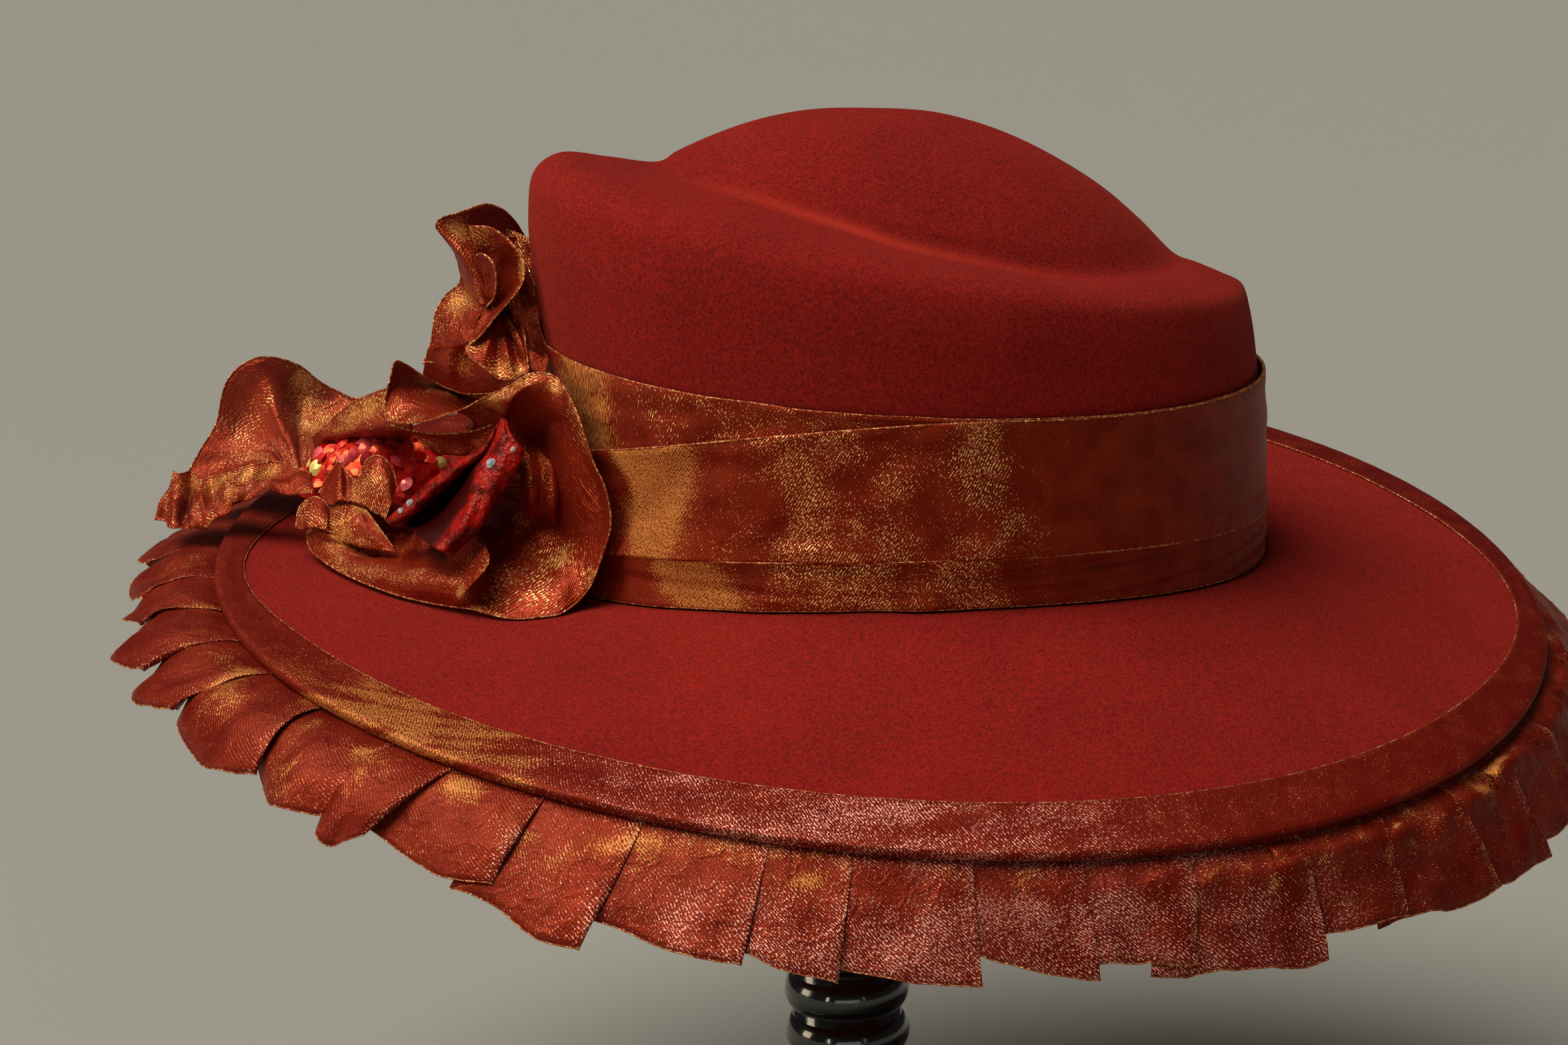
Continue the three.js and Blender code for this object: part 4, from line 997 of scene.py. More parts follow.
gold_and_painted_sheen += 0.3 * ruffle_ridge + flash * (0.3 + np.clip(0.7 + fleck, 0, 0.9))
gold_and_painted_sheen += bell(facing, 38, 26) * np.clip(0.1 + 0.7 * fleck, 0, 0.45)
# Painted gold highlights where the weft catches the light: angle, distance from the seam, and the patch's
# width and height.
for angle, run, wide, tall in [
    (181, 5, 3, 4), (212, 19, 3, 9), (222.5, 24, 3.5, 11), (229, 15, 3, 10), (237, 9, 4, 8),
    (245, 13, 5, 9), (253, 16, 4, 14), (259, 6, 7, 5), (266, 6, 4, 7), (273, 6, 6, 4), (280, 8, 4, 6),
    (290, 20, 3, 7), (295, 15, 4, 12), (302, 6, 4, 2.5), (309, 7, 2, 3), (317, 6, 3.5, 2.5),
    (326, 6, 3.5, 2.5), (334, 6, 3.5, 2.5),
]:
    apart = (np.degrees(ruffle_angle) - angle) / wide, (rows[::-1, None] * 33 - run) / tall
    shown = np.exp(-((apart[0] ** 2 + apart[1] ** 2) ** 1.5))
    gold_and_painted_sheen = np.maximum(gold_and_painted_sheen, shown * np.clip(0.3 + 0.5 * patch + 0.7 * fleck, 0, 0.56))
painted_glints = bell(facing, 14, np.where(facing > 14, 23, 36)) * (1.0 + 0.6 * patch) * (1.1 - 0.7 * near_seam)
painted_glints += 0.1 + 0.5 * ruffle_ridge + 0.4 * flash
paint_gold_and_glints(ruffle_mesh, gold_and_painted_sheen, painted_glints)
ruffle_cloth = organza("ruffle_organza", 0.9, 0.97, pink_glint, copper=0.15, rough=0.3, folds=1.0, ridges=0.1)
ruffle = thicken(add_piece("ruffle_ribbon", ruffle_mesh, ruffle_cloth), 0.2, 0.0)
ruffle_edge = ribbon_edge("ruffle_wire", [on_hat(ruffle_grid[-1])], 0.22, True, woven_edge)
for piece in (ruffle, ruffle_edge):
    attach(piece, "root")
    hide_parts("brim_ruffle")

# Front flower: a wired organza ribbon gathered along one edge and wound into an open cup on the brim, against
# the band. Its lip lies on the felt, its right side stands up and rolls over, and its end curls up.
# Each row of a table is a line across the ribbon, from its wired edge to its gathers.
front_cup = [
    [(-174, -6, 2.6), (-171.5, -9, 4.6), (-168.3, -12, 5.3), (-164.4, -14, 4.5), (-156.5, -8, 4.2)],
    [(-172.3, -10, -0.8), (-167.1, -14, 0.8), (-161.8, -17, 1), (-155.6, -18, 0.2), (-150.3, -9, 3)],
    [(-164, -22, -3.3), (-159.3, -24, -1), (-154.3, -24, 0.1), (-149.2, -21, -0.1), (-145.9, -10, 3.2)],
    [(-154.2, -33, -4.7), (-150.7, -36, -1.5), (-147.1, -34, 0.8), (-143.2, -25, 1.5), (-141.4, -11, 3.9)],
    [(-144.1, -43, -5.5), (-141.1, -46, -1.5), (-138.8, -44, 1.5), (-137.4, -28, 1.5), (-137, -12, 4.7)],
    [(-135, -50, -5.9), (-131.9, -54, -0.9), (-130.1, -52, 2.8), (-130.5, -30, 1.8), (-133.2, -12, 5.9)],
    [(-128.5, -55, -5.7), (-125.5, -59, -0.5), (-123.1, -57, 3.8), (-125.7, -34, 5.3), (-129.3, -13, 7.3)],
    [(-124.4, -58, -5.4), (-122.9, -62, -0.9), (-115.3, -64, 8.9), (-121.5, -40, 11.2), (-126.6, -14, 10)],
    [(-120.2, -61, -5.3), (-120.6, -58, -1.8), (-116.8, -55, 7.7), (-120.8, -38, 11.2), (-124.7, -14, 11.2)],
    [(-115.2, -65, -5.6), (-117, -55, -2.2), (-116.7, -45, 3.7), (-118.2, -33, 10.4), (-122.8, -14, 12.4)],
    [(-110.9, -67, -6.1), (-111.4, -57, -1.2), (-111.9, -44, 4.5), (-114.6, -32, 11.9), (-121.5, -14, 13.7)],
    [(-106.1, -68, -6.5), (-105.2, -60, -0.5), (-106.1, -45, 5.2), (-110.3, -32, 13.7), (-120.3, -14, 14.9)],
    [(-100.8, -68, -6.4), (-99.8, -61, -0.1), (-101.2, -46, 6.3), (-107.2, -32, 14.8), (-119.6, -14, 16.1)],
    [(-95.5, -67, -5.2), (-95, -60, 2), (-98.2, -45, 8.1), (-105.4, -31, 15.8), (-118.9, -14, 16.8)],
    [(-90.8, -64, -2.6), (-92.1, -57, 4.7), (-96.4, -43, 10.6), (-104.2, -30, 17.3), (-118.3, -14, 17.4)],
    [(-87.2, -63, 1.6), (-89.7, -55, 8.4), (-94.9, -41, 13.7), (-103.6, -29, 18.9), (-117.9, -14, 18)],
    [(-83.9, -63, 9.5), (-87.7, -54, 14.2), (-93.9, -40, 17.2), (-103.3, -28, 20.5), (-117.6, -14, 18.6)],
    [(-80.8, -65, 19.1), (-86, -54, 20), (-93.5, -39, 20.6), (-103.3, -27, 22.8), (-117.2, -14, 19.9)],
    [(-81.6, -65, 28.9), (-86.6, -53, 27.4), (-93.9, -38, 25.3), (-103.4, -27, 25.3), (-117.2, -14, 21.1)],
    [(-85.2, -62, 37), (-89.3, -51, 34.2), (-95.8, -37, 30.1), (-103.9, -27, 27.8), (-117.1, -14, 22.4)],
    [(-87.5, -59, 43.9), (-91.5, -49, 40.2), (-97.8, -36, 34.8), (-105, -27, 30.3), (-117, -14, 23.6)],
    [(-89.9, -54, 49.4), (-94.2, -46, 45.1), (-100, -35, 39), (-106.7, -27, 32.2), (-117.3, -14, 24.9)],
    [(-93, -48, 54), (-97.1, -44, 48.9), (-103.2, -35, 42.2), (-109, -27, 34.2), (-117.5, -14, 26.2)],
    [(-95.9, -43, 56.6), (-99.7, -43, 52.2), (-105.3, -36, 45.4), (-110.7, -27, 36), (-117.7, -14, 27.5)],
    [(-100.1, -41, 57.6), (-102.6, -43, 54), (-107.5, -37, 47.4), (-111.8, -27, 37.9), (-118, -14, 28.1)],
    [(-104.8, -39, 56.5), (-106, -43, 53.5), (-109.3, -38, 47.9), (-112.8, -28, 38.8), (-118.3, -14, 28.7)],
    [(-110.1, -37, 52.9), (-109.5, -41, 50.7), (-110.6, -38, 46.6), (-113.1, -28, 39.2), (-118.6, -14, 29.4)],
    [(-117.1, -36, 49.7), (-116, -35, 47.9), (-115.3, -31, 44.4), (-114.7, -27, 39.6), (-119.1, -14, 30)],
    [(-123.8, -32, 45.5), (-122.3, -29, 45.1), (-120.1, -27, 43.2), (-116.6, -26, 39.4), (-120, -14, 30.7)],
    [(-131.3, -27, 42), (-129.2, -23, 42.5), (-124.9, -22, 42.2), (-118.7, -24, 39), (-121.3, -13, 31.1)],
    [(-137.5, -22, 39.6), (-134.8, -17, 41.3), (-129.1, -17, 41.8), (-120.1, -22, 39.2), (-122.6, -12, 31.5)],
    [(-143.7, -17, 38.3), (-139.7, -12, 41.5), (-132.2, -12, 41.9), (-121.5, -20, 39.3), (-123.9, -11, 31.9)],
    [(-147.9, -12, 38.6), (-144.4, -8, 43), (-135, -8, 42.4), (-122.9, -18, 39.6), (-124.6, -10, 32.3)],
    [(-148.5, -8, 43.1), (-144.7, -4, 45.3), (-136, -4, 43.1), (-123.1, -16, 39.7), (-124.9, -9, 32.7)],
    [(-146.9, -5, 49.5), (-143.1, -1, 46.5), (-135.1, 0, 43.4), (-123.3, -14, 39.9), (-125.3, -8, 33.1)],
    [(-145.3, -4, 53.6), (-140.5, 0, 48.1), (-133.4, 2, 43.5), (-122.8, -12, 40.1), (-125.4, -7, 33.5)],
    [(-136.8, 0, 47.5), (-132.1, 2, 44.2), (-128.4, 2, 41.5), (-121.8, -10, 39.6), (-125.2, -6, 33.6)],
    [(-128.7, 0, 45.2), (-125.6, 0, 42.5), (-123.1, -2, 40.3), (-119.7, -12, 39.3), (-124.1, -7, 33.8)],
    [(-120.1, -4, 44.3), (-118.2, -6, 42.3), (-116.7, -10, 40.7), (-117.1, -14, 39.1), (-122.8, -8, 33.7)],
    [(-113.1, -12, 45.5), (-113, -14, 43.5), (-113.7, -16, 41.4), (-114.7, -20, 39.2), (-120.8, -10, 33.5)],
]
front_curl = [
    [(-174.1, -3, 2.1), (-171.9, -6, 1.5), (-169.6, -9, 0.6)],
    [(-172.3, -3, 6), (-169.7, -9, 4.2), (-166.7, -12, 1.3)],
    [(-167, -4, 11.5), (-164.8, -13, 7.8), (-163.4, -15, 2.7)],
    [(-163.2, -6, 13.5), (-161.1, -15, 9.5), (-159.6, -18, 2.8)],
    [(-159.1, -8, 14), (-156.6, -18, 9.5), (-155.5, -21, 2.5)],
    [(-154.5, -14, 11), (-153, -21, 7), (-151.5, -23, 2.3)],
    [(-150.3, -20, 7.3), (-149.4, -23, 4.8), (-148.1, -25, 2.4)],
    [(-146.6, -24, 3.4), (-146.2, -25, 3), (-145.4, -27, 2.5)],
]
front_under = [
    [(-147.1, -10, 36.1), (-141.5, -11, 33.9), (-136.5, -13, 29.7)],
    [(-137.2, -15, 34.9), (-133.6, -15, 32.7), (-130.6, -16, 28.3)],
    [(-127.9, -20, 35.6), (-125.7, -19, 32.8), (-124, -19, 28.9)],
    [(-120.7, -23, 37.2), (-120.3, -22, 34.7), (-119.9, -22, 30.8)],
    [(-115.3, -26, 39.8), (-115.9, -25, 37.2), (-116.4, -24, 33.8)],
]
front_heart = [
    [(-110.7, -28, 36.5), (-108.8, -36, 31.4), (-107.7, -38, 24.2), (-109.6, -36, 16.1), (-113.3, -32, 10.7)],
    [(-107.8, -29, 37.3), (-105.5, -38, 32.4), (-104.5, -43, 25.4), (-105.7, -41, 17.3), (-108.1, -34, 11)],
    [(-105, -30, 36.2), (-101.9, -37, 31.4), (-101.3, -41, 24.8), (-102, -41, 17.2), (-103.6, -36, 10.8)],
    [(-102.3, -30, 34.2), (-98.7, -39, 30.6), (-98, -44, 24.9), (-98.4, -44, 17.2), (-99.8, -38, 9.9)],
    [(-99.5, -31, 31.8), (-96.2, -37, 28.1), (-95, -40, 23.1), (-95.4, -40, 15.5), (-96.2, -38, 8.5)],
    [(-96.7, -33, 29), (-93.9, -36, 25.9), (-92.5, -38, 20.6), (-92.5, -38, 13.6), (-93.1, -39, 7.4)],
]
# Painted gold highlights where the weft catches light on its ridges: place and size.
front_painted_highlights = [
    (-165, -6, 12, 5), (-161, -15, 5, 6), (-155, -19, 3, 5), (-157, -12, 11, 4), (-137, -46, 4, 4),
    (-132, -50, 6, 4), (-109, -38, 13, 5), (-103, -44, 9, 6), (-97, -50, 7, 6), (-116, -62, 6, 3),
    (-123, -61, -1, 3.5), (-88, -62, 3, 5), (-90, -54, 48, 7), (-88, -57, 43, 6), (-96, -45, 55, 4),
    (-145, -13, 40, 5), (-139, -19, 40, 4), (-130, -26, 43, 4), (-117, -36, 48, 6), (-121, -30, 44, 5),
    (-136, 0, 47, 5), (-129, 0, 44, 5), (-123, -3, 44, 4),
]


band_half_length, band_half_side, band_reach = 108.0, 94.0, 56.0


def clear_of_hat(points, gap):
    x, y = points[..., 0], points[..., 1]
    inside = np.hypot(x / band_half_length, y / band_half_side)
    low = points[..., 2] < band_reach
    push = np.where((inside < 1) & low, 1 / np.maximum(inside, 0.5), 1.0)
    x, y = x * push, y * push
    share = np.zeros_like(x)
    for _ in range(30):
        length, side = brim_halves(share)
        share = share + (np.hypot((x - brim_shift * share) / length, y / side) - 1) * 0.8
    length, side = brim_halves(share)
    angle = np.arctan2(y / side, (x - brim_shift * share) / length)
    floor = brim_top(angle, np.clip(share, 0, 1.15))[..., 2] + gap + np.where(share > 0.8, 1.0, 0.0)
    return np.stack([x, y, np.maximum(points[..., 2], floor)], -1)


def petal(net, rows, columns, crumple=0.5, gathers=0.0, seed=0.0):
    sheet = curve_through(np.array(net, float), columns)
    sheet = curve_through(np.swapaxes(sheet, 0, 1), rows)
    share = np.linspace(0, 1, rows)[:, None]
    along = np.cumsum(np.linalg.norm(np.diff(sheet, axis=1, prepend=sheet[:, :1]), axis=-1).mean(0))
    ripple = np.sin(along / 5.2 * math.pi + 2.5 * np.sin(along / 17.0))[None] * share**1.5 * gathers
    lumps = drift(sheet, 9.0, crumple, seed) + drift(sheet, 4.0, crumple * 0.35, seed + 9)
    sheet = sheet + sheet_normals(sheet) * (ripple + lumps * (0.25 + share))[..., None]
    return clear_of_hat(sheet, 0.6)


def ribbon_flower(name, grids, material, painted_highlights):
    points, faces, uvs, wires, toward_light = [], [], [], [], []
    for grid in grids:
        rows, columns = grid.shape[:2]
        first = len(points)
        u, v = lengths(grid, False)
        points += on_hat(grid).reshape(-1, 3).tolist()
        r, c = np.meshgrid(np.arange(rows - 1), np.arange(columns - 1), indexing="ij")
        k = first + r * columns + c
        faces += np.stack([k, k + 1, k + columns + 1, k + columns], -1).reshape(-1, 4).tolist()
        uvs.append(corner_uvs(u, v, r, c))
        wires.append(on_hat(grid[0]))
        toward_light.append(np.abs(sheet_normals(grid) @ [-0.45, -0.6, 0.66]).reshape(-1))
    mesh = bpy.data.meshes.new(name)
    mesh.from_pydata(points, [], faces)
    mesh.uv_layers.new(name="cloth").uv.foreach_set("vector", np.concatenate(uvs))
    cloth = np.concatenate([grid.reshape(-1, 3) for grid in grids])
    # Painted sheen and glints: the gold and glint masks grow on slopes that face the upper left light, with
    # random patches, and at the listed highlight spots.
    patch = drift(cloth, 13.0, 1.0, 6.6) + 0.4 * drift(cloth, 5.0, 1.0, 1.6)
    slope = np.concatenate(toward_light)
    gold_and_painted_sheen = np.clip(1.6 * (slope - 0.86) + 0.7 * patch, 0, 0.5)
    painted_glints = np.clip(2.0 * (slope - 0.65) + 0.9 * patch, 0, 0.8)
    for x, y, z, size in painted_highlights:
        near = np.linalg.norm(cloth - [x, y, z], axis=-1) / size
        gold_and_painted_sheen = np.maximum(gold_and_painted_sheen, np.exp(-(near**3)) * (0.6 + 0.5 * patch))
        painted_glints = np.maximum(painted_glints, np.exp(-(near**3)) * 0.7)
    paint_gold_and_glints(mesh, gold_and_painted_sheen, painted_glints)
    piece = thicken(add_piece(name, mesh, material), 0.2, 0.0)
    wire = ribbon_edge(name + "_wire", wires, 0.3, False, woven_edge)
    return piece, wire


flower_cloth = organza(
    "flower_organza", 0.9, 0.96, gold_glint, copper=0.65, rough=0.25, satin=0.35, folds=1.2, ridges=0.15
)
flower_front, front_wire = ribbon_flower(
    "front_flower",
    [
        petal(front_cup, 40, 320, 0.3, 0.5, 1.0),
        petal(front_curl, 16, 60, 0.25, 0.0, 2.0),
        petal(front_under, 14, 50, 0.5, 0.4, 3.0),
        petal(front_heart, 40, 40, 1.4, 0.0, 4.0),
    ],
    flower_cloth,
    front_painted_highlights,
)
for piece in (flower_front, front_wire):
    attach(piece, "root")
    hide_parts("flower_front")

# Side flower: the same ribbon gathered into a tighter flower on the crown's end wall, above the band. It has
# an outer frill and three nested turns, whose wired edges show as fine bright lines.
side_outer = [
    [(-137, -8, 53.6), (-131.2, -12, 54.8), (-125.9, -16, 56.5), (-122.8, -18, 58.4)],
    [(-135, -4, 58.6), (-129.8, -10, 58.8), (-125.4, -15, 59.3), (-122.7, -18, 59.9)],
    [(-134.1, -2, 63.6), (-129.1, -9, 63.5), (-124.8, -14, 63), (-121.2, -17, 62.5)],
    [(-133.4, 0, 67.1), (-128.1, -8, 66.2), (-123.8, -13, 65.7), (-119.7, -16, 65.7)],
    [(-130.7, 2, 71.1), (-126.8, -4, 69.2), (-122.9, -10, 68.4), (-118.6, -15, 68.4)],
    [(-126.1, 0, 75.6), (-124.3, -3, 72.4), (-121.4, -9, 71.1), (-117.9, -14, 70.6)],
    [(-125.7, -4, 81.1), (-123.8, -6, 77), (-121, -10, 73.8), (-117.4, -14, 71.4)],
    [(-126.6, -5, 85.5), (-123, -10, 80.7), (-119.8, -13, 76.4), (-116.9, -14, 71.6)],
    [(-129.9, -5, 90.3), (-123.9, -10, 85.7), (-119.2, -13, 79.3), (-116.4, -14, 71.8)],
    [(-131.6, -5, 93), (-125, -7, 88.5), (-119.2, -11, 81.8), (-116.2, -13, 71.8)],
    [(-130.2, -4, 95.2), (-123.8, -3, 90.7), (-118.4, -8, 83.6), (-116.1, -12, 71.9)],
    [(-125, -2, 96.4), (-120.6, 0, 91.4), (-116.6, -6, 84.6), (-115.9, -11, 71.7)],
    [(-117.9, 0, 98.2), (-116.5, 3, 91.7), (-114.9, -3, 85), (-115.5, -10, 71.7)],
    [(-113.4, 3, 96.1), (-113.4, 5, 89.8), (-113.2, -1, 83.5), (-114.9, -9, 71.4)],
    [(-110.1, 7, 91.7), (-110.8, 7, 86.3), (-111.6, 1, 81.1), (-114.3, -8, 71.2)],
    [(-107.9, 10, 86.9), (-109.4, 8, 82.6), (-110.6, 2, 78.4), (-113.4, -7, 71)],
]
side_middle = [
    [(-121.4, -11, 93.9), (-119.9, -11, 86.7), (-117.4, -12, 78)],
    [(-115.4, -14, 94), (-116.1, -11, 85.6), (-116.1, -12, 76.5)],
    [(-109.5, -18, 90.7), (-112.2, -13, 83.5), (-115.2, -12, 75)],
    [(-105.6, -22, 86.1), (-109.7, -16, 80.6), (-114.4, -13, 74.2)],
    [(-105.1, -24, 82.6), (-109.2, -18, 78.6), (-114.1, -14, 73.5)],
    [(-106.6, -26, 78.7), (-110.1, -20, 76.1), (-114.1, -15, 72.7)],
    [(-110.1, -27, 74.6), (-112.1, -21, 73.4), (-114.5, -16, 72.4)],
    [(-113.6, -27, 70.9), (-114.5, -22, 71), (-115.4, -17, 71.7)],
    [(-118.8, -26, 65), (-117.6, -22, 67.9), (-116.4, -17, 71.2)],
    [(-122.6, -25, 61.9), (-120.2, -21, 65.8), (-117.1, -17, 70.8)],
]
side_inner = [
    [(-120.3, -13, 84.7), (-119.8, -11, 79.4), (-118.3, -12, 74.1)],
    [(-119, -16, 86.7), (-118.4, -13, 81.2), (-117.6, -13, 74.8)],
    [(-116.8, -19, 87.3), (-117.3, -15, 80.6), (-117.1, -13, 73.8)],
    [(-114.3, -21, 85.2), (-115.6, -16, 78.8), (-116.5, -14, 73.3)],
    [(-113.4, -22, 81), (-114.8, -18, 76.8), (-116, -15, 72.8)],
    [(-114.2, -22, 75.7), (-115, -19, 74.1), (-115.8, -16, 72.2)],
    [(-117, -20, 72.3), (-116.5, -18, 72.2), (-116, -16, 72)],
]
side_lower = [
    [(-122.6, -26, 61.9), (-119.7, -21, 65.8), (-116, -17, 70.2)],
    [(-121.2, -29, 59.8), (-118.3, -22, 64.1), (-115.5, -17, 69.7)],
    [(-117.8, -31, 57.8), (-115.9, -27, 64.1), (-114.6, -17, 68.7)],
    [(-113.1, -33, 54.4), (-113.8, -25, 61.2), (-113.6, -18, 68.4)],
    [(-108.7, -34, 54.3), (-110.5, -30, 61.7), (-112.6, -18, 68.4)],
    [(-106.4, -33, 55.4), (-109.1, -25, 61.5), (-111.6, -18, 68.9)],
    [(-104.7, -33, 56.1), (-106.8, -28, 63.1), (-111.1, -18, 69.8)],
    [(-105.1, -30, 61), (-107, -24, 65.6), (-110.8, -18, 70.8)],
    [(-105.7, -28, 66.9), (-107.9, -22, 69.1), (-110.8, -18, 71.8)],
]
side_skirt = [
    [(-137.9, -2, 49.1), (-136.6, -6, 53.1), (-135.3, -10, 58.4)],
    [(-131.5, -6, 46.1), (-129.7, -14, 53.5), (-128.2, -16, 60.8)],
    [(-124.9, -12, 45.4), (-122.8, -17, 53.4), (-121.2, -19, 61.8)],
    [(-118.2, -18, 46.6), (-115.3, -25, 55), (-114.4, -24, 63.4)],
    [(-111.3, -26, 49.2), (-109, -28, 55.5), (-107.9, -27, 61.4)],
    [(-104.7, -31, 53), (-103.8, -32, 56.9), (-103.3, -29, 60.8)],
    [(-99.6, -34, 54.7), (-99.3, -33, 57), (-99.1, -31, 59.6)],
]
side_tuck = [
    [(-112.5, 6, 90), (-108.4, 3, 88.8), (-103.4, -3, 87.6)],
    [(-112.1, 2, 82.9), (-107.9, -2, 82.6), (-103.3, -6, 82.8)],
    [(-111.5, -3, 76), (-107.4, -6, 76), (-103.1, -10, 76.2)],
    [(-110.9, -9, 69.3), (-106.9, -11, 69.2), (-102.6, -13, 69.5)],
    [(-108.7, -16, 62.9), (-105.6, -16, 62.3), (-101.2, -20, 63.6)],
    [(-108.8, -20, 55.5), (-104.8, -22, 55.8), (-98.9, -27, 57.2)],
]
# Painted gold highlights on the side flower's ridges: place and size.
side_painted_highlights = [
    (-118, -8, 95, 8), (-110, -10, 97, 7), (-125, -4, 92, 5), (-127, -6, 70, 8), (-131, -4, 64, 6),
    (-106, -23, 84, 4), (-124, -14, 56, 5), (-113, -31, 58, 5), (-108, -32, 56, 4), (-120, -27, 62, 4),
    (-114, -5, 93, 5), (-110, -7, 90, 5),
]


def turned_away(net, middle, sink):
    return np.array(net, float) * [1, -1, 1] + [5, 2 * middle, sink]


flower_side, side_wire = ribbon_flower(
    "side_flower",
    [
        petal(side_outer, 24, 150, 0.8, 1.1, 5.0),
        petal(side_middle, 18, 100, 0.5, 0.8, 6.0),
        petal(side_inner, 14, 60, 0.4, 0.5, 7.0),
        petal(side_lower, 20, 90, 0.9, 1.0, 8.0),
        petal(side_skirt, 20, 60, 1.2, 0.6, 18.0),
        petal(side_tuck, 12, 60, 0.8, 0.5, 19.0),
        petal(turned_away(side_outer, -4.0, -9.0), 24, 120, 0.6, 0.7, 15.0),
        petal(turned_away(side_middle, -6.0, -6.0), 18, 90, 0.4, 0.5, 16.0),
        petal(turned_away(side_lower, -7.0, -2.0), 20, 80, 0.6, 0.6, 17.0),
    ],
    flower_cloth,
    side_painted_highlights,
)
for piece in (flower_side, side_wire):
    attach(piece, "root")
    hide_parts("flower_side")

# Back flower: a third, looser ribbon flower behind the other two, with one tall thin petal at the far side, a
# crumpled frill at the brim's edge and small petals round the sequins.
back_far = [
    [(-217.3, 36, 6.3), (-209, 32, 6.5), (-199.7, 27, 8.7), (-191.8, 24, 11.6), (-185.1, 20, 11.2)],
    [(-215.1, 44, 11.2), (-207.3, 42, 12.1), (-198.7, 38, 14), (-191.2, 34, 15.9), (-185.4, 26, 12)],
    [(-211.5, 46, 17), (-204.5, 44, 16.2), (-196.6, 40, 15.8), (-189.6, 35, 16.8), (-184.4, 26, 12)],
    [(-207.2, 49, 23.8), (-201.2, 47, 20.6), (-194.4, 42, 18.1), (-188, 36, 17.1), (-183.4, 26, 11.9)],
    [(-205.3, 51, 32), (-199.6, 50, 25.6), (-193.4, 44, 20.5), (-186.9, 36, 17.6), (-182.8, 26, 11.9)],
    [(-203.1, 52, 37), (-197.1, 51, 30), (-191.7, 45, 23.1), (-185.7, 36, 17.9), (-182.1, 26, 11.9)],
    [(-199, 53, 40.8), (-194.1, 51, 33.4), (-189.7, 44, 25.6), (-184.7, 35, 18.4), (-181.6, 26, 11.9)],
    [(-194.4, 54, 42.7), (-191.1, 51, 35.1), (-188, 43, 27), (-183.7, 34, 18.9), (-181.1, 26, 11.9)],
    [(-190.3, 55, 42.5), (-188.7, 52, 34.8), (-186.5, 44, 26.7), (-182.5, 34, 19.2), (-180.4, 26, 11.8)],
    [(-185.7, 56, 41.1), (-186, 54, 33.1), (-184.8, 46, 25.6), (-181.8, 35, 18.9), (-179.9, 26, 11.8)],
    [(-181.4, 57, 38.7), (-182.5, 57, 31.1), (-182.5, 49, 23.6), (-180.9, 36, 18.6), (-179.2, 26, 11.8)],
    [(-176.6, 57, 34.4), (-178.5, 56, 28.3), (-179.6, 48, 22.6), (-179.5, 36, 18.6), (-178.4, 26, 11.8)],
    [(-171.6, 57, 31.3), (-174.5, 54, 25.7), (-176.6, 46, 21.2), (-178.1, 36, 18.5), (-177.6, 26, 11.8)],
    [(-165.2, 55, 29.1), (-169.5, 50, 24.1), (-173.4, 43, 20.7), (-176.5, 35, 18.7), (-176.7, 26, 11.7)],
    [(-157.1, 50, 32.5), (-163.7, 45, 25.2), (-170.2, 40, 20.8), (-175.2, 34, 18.9), (-176, 26, 11.7)],
]
back_bridge = [
    [(-141.9, 4, 44.3), (-142, 2, 38.9), (-141.9, 0, 33.7), (-147.3, 40, 16.6)],
    [(-150, 14, 41.5), (-150.1, 12, 36.7), (-149.7, 8, 31.4), (-155.1, 44, 15.8)],
    [(-156.7, 20, 38.2), (-156.1, 17, 34), (-155.2, 12, 30.1), (-160.3, 44, 15.4)],
    [(-163.1, 25, 34.3), (-162, 21, 31.2), (-161.1, 17, 28.5), (-165.4, 44, 15)],
    [(-168.3, 29, 29.8), (-167.2, 26, 28.2), (-166.2, 21, 26.5), (-170, 44, 14.5)],
    [(-172.8, 31, 25.4), (-172, 29, 24.7), (-171, 25, 24.5), (-174.5, 44, 14.1)],
    [(-176.7, 36, 22), (-176.1, 35, 20.4), (-175.8, 34, 18.4), (-178.2, 44, 9.5)],
]
back_crumple = [
    [(-216.6, 22, 15.7), (-218, 19, 10.2), (-222.2, 14, 3)],
    [(-214.3, 21, 15), (-214, 13, 9.9), (-215.7, 8, 1.5)],
    [(-211.9, 25, 14.8), (-211.3, 18, 7.9), (-210.4, 6, 1.9)],
    [(-208.4, 20, 13.1), (-206.6, 10, 9.3), (-205.6, 4, 3.5)],
    [(-205.2, 21, 13.9), (-204.1, 15, 9.1), (-202.2, 4, 5.1)],
    [(-200.6, 17, 15.6), (-199.6, 9, 12.2), (-199.2, 4, 7.8)],
    [(-196.7, 18, 17), (-196.5, 11, 13.9), (-196.1, 3, 11.4)],
    [(-191.9, 16, 18.8), (-192.2, 9, 15.4), (-192.3, 4, 12.2)],
    [(-185.5, 18, 18.9), (-186.1, 13, 15.4), (-186.2, 4, 12.6)],
    [(-180, 14, 18.6), (-178.8, 8, 16.4), (-177.6, 2, 13.4)],
    [(-173.5, 10, 16.9), (-173.1, 6, 14.5), (-172, 0, 12)],
]
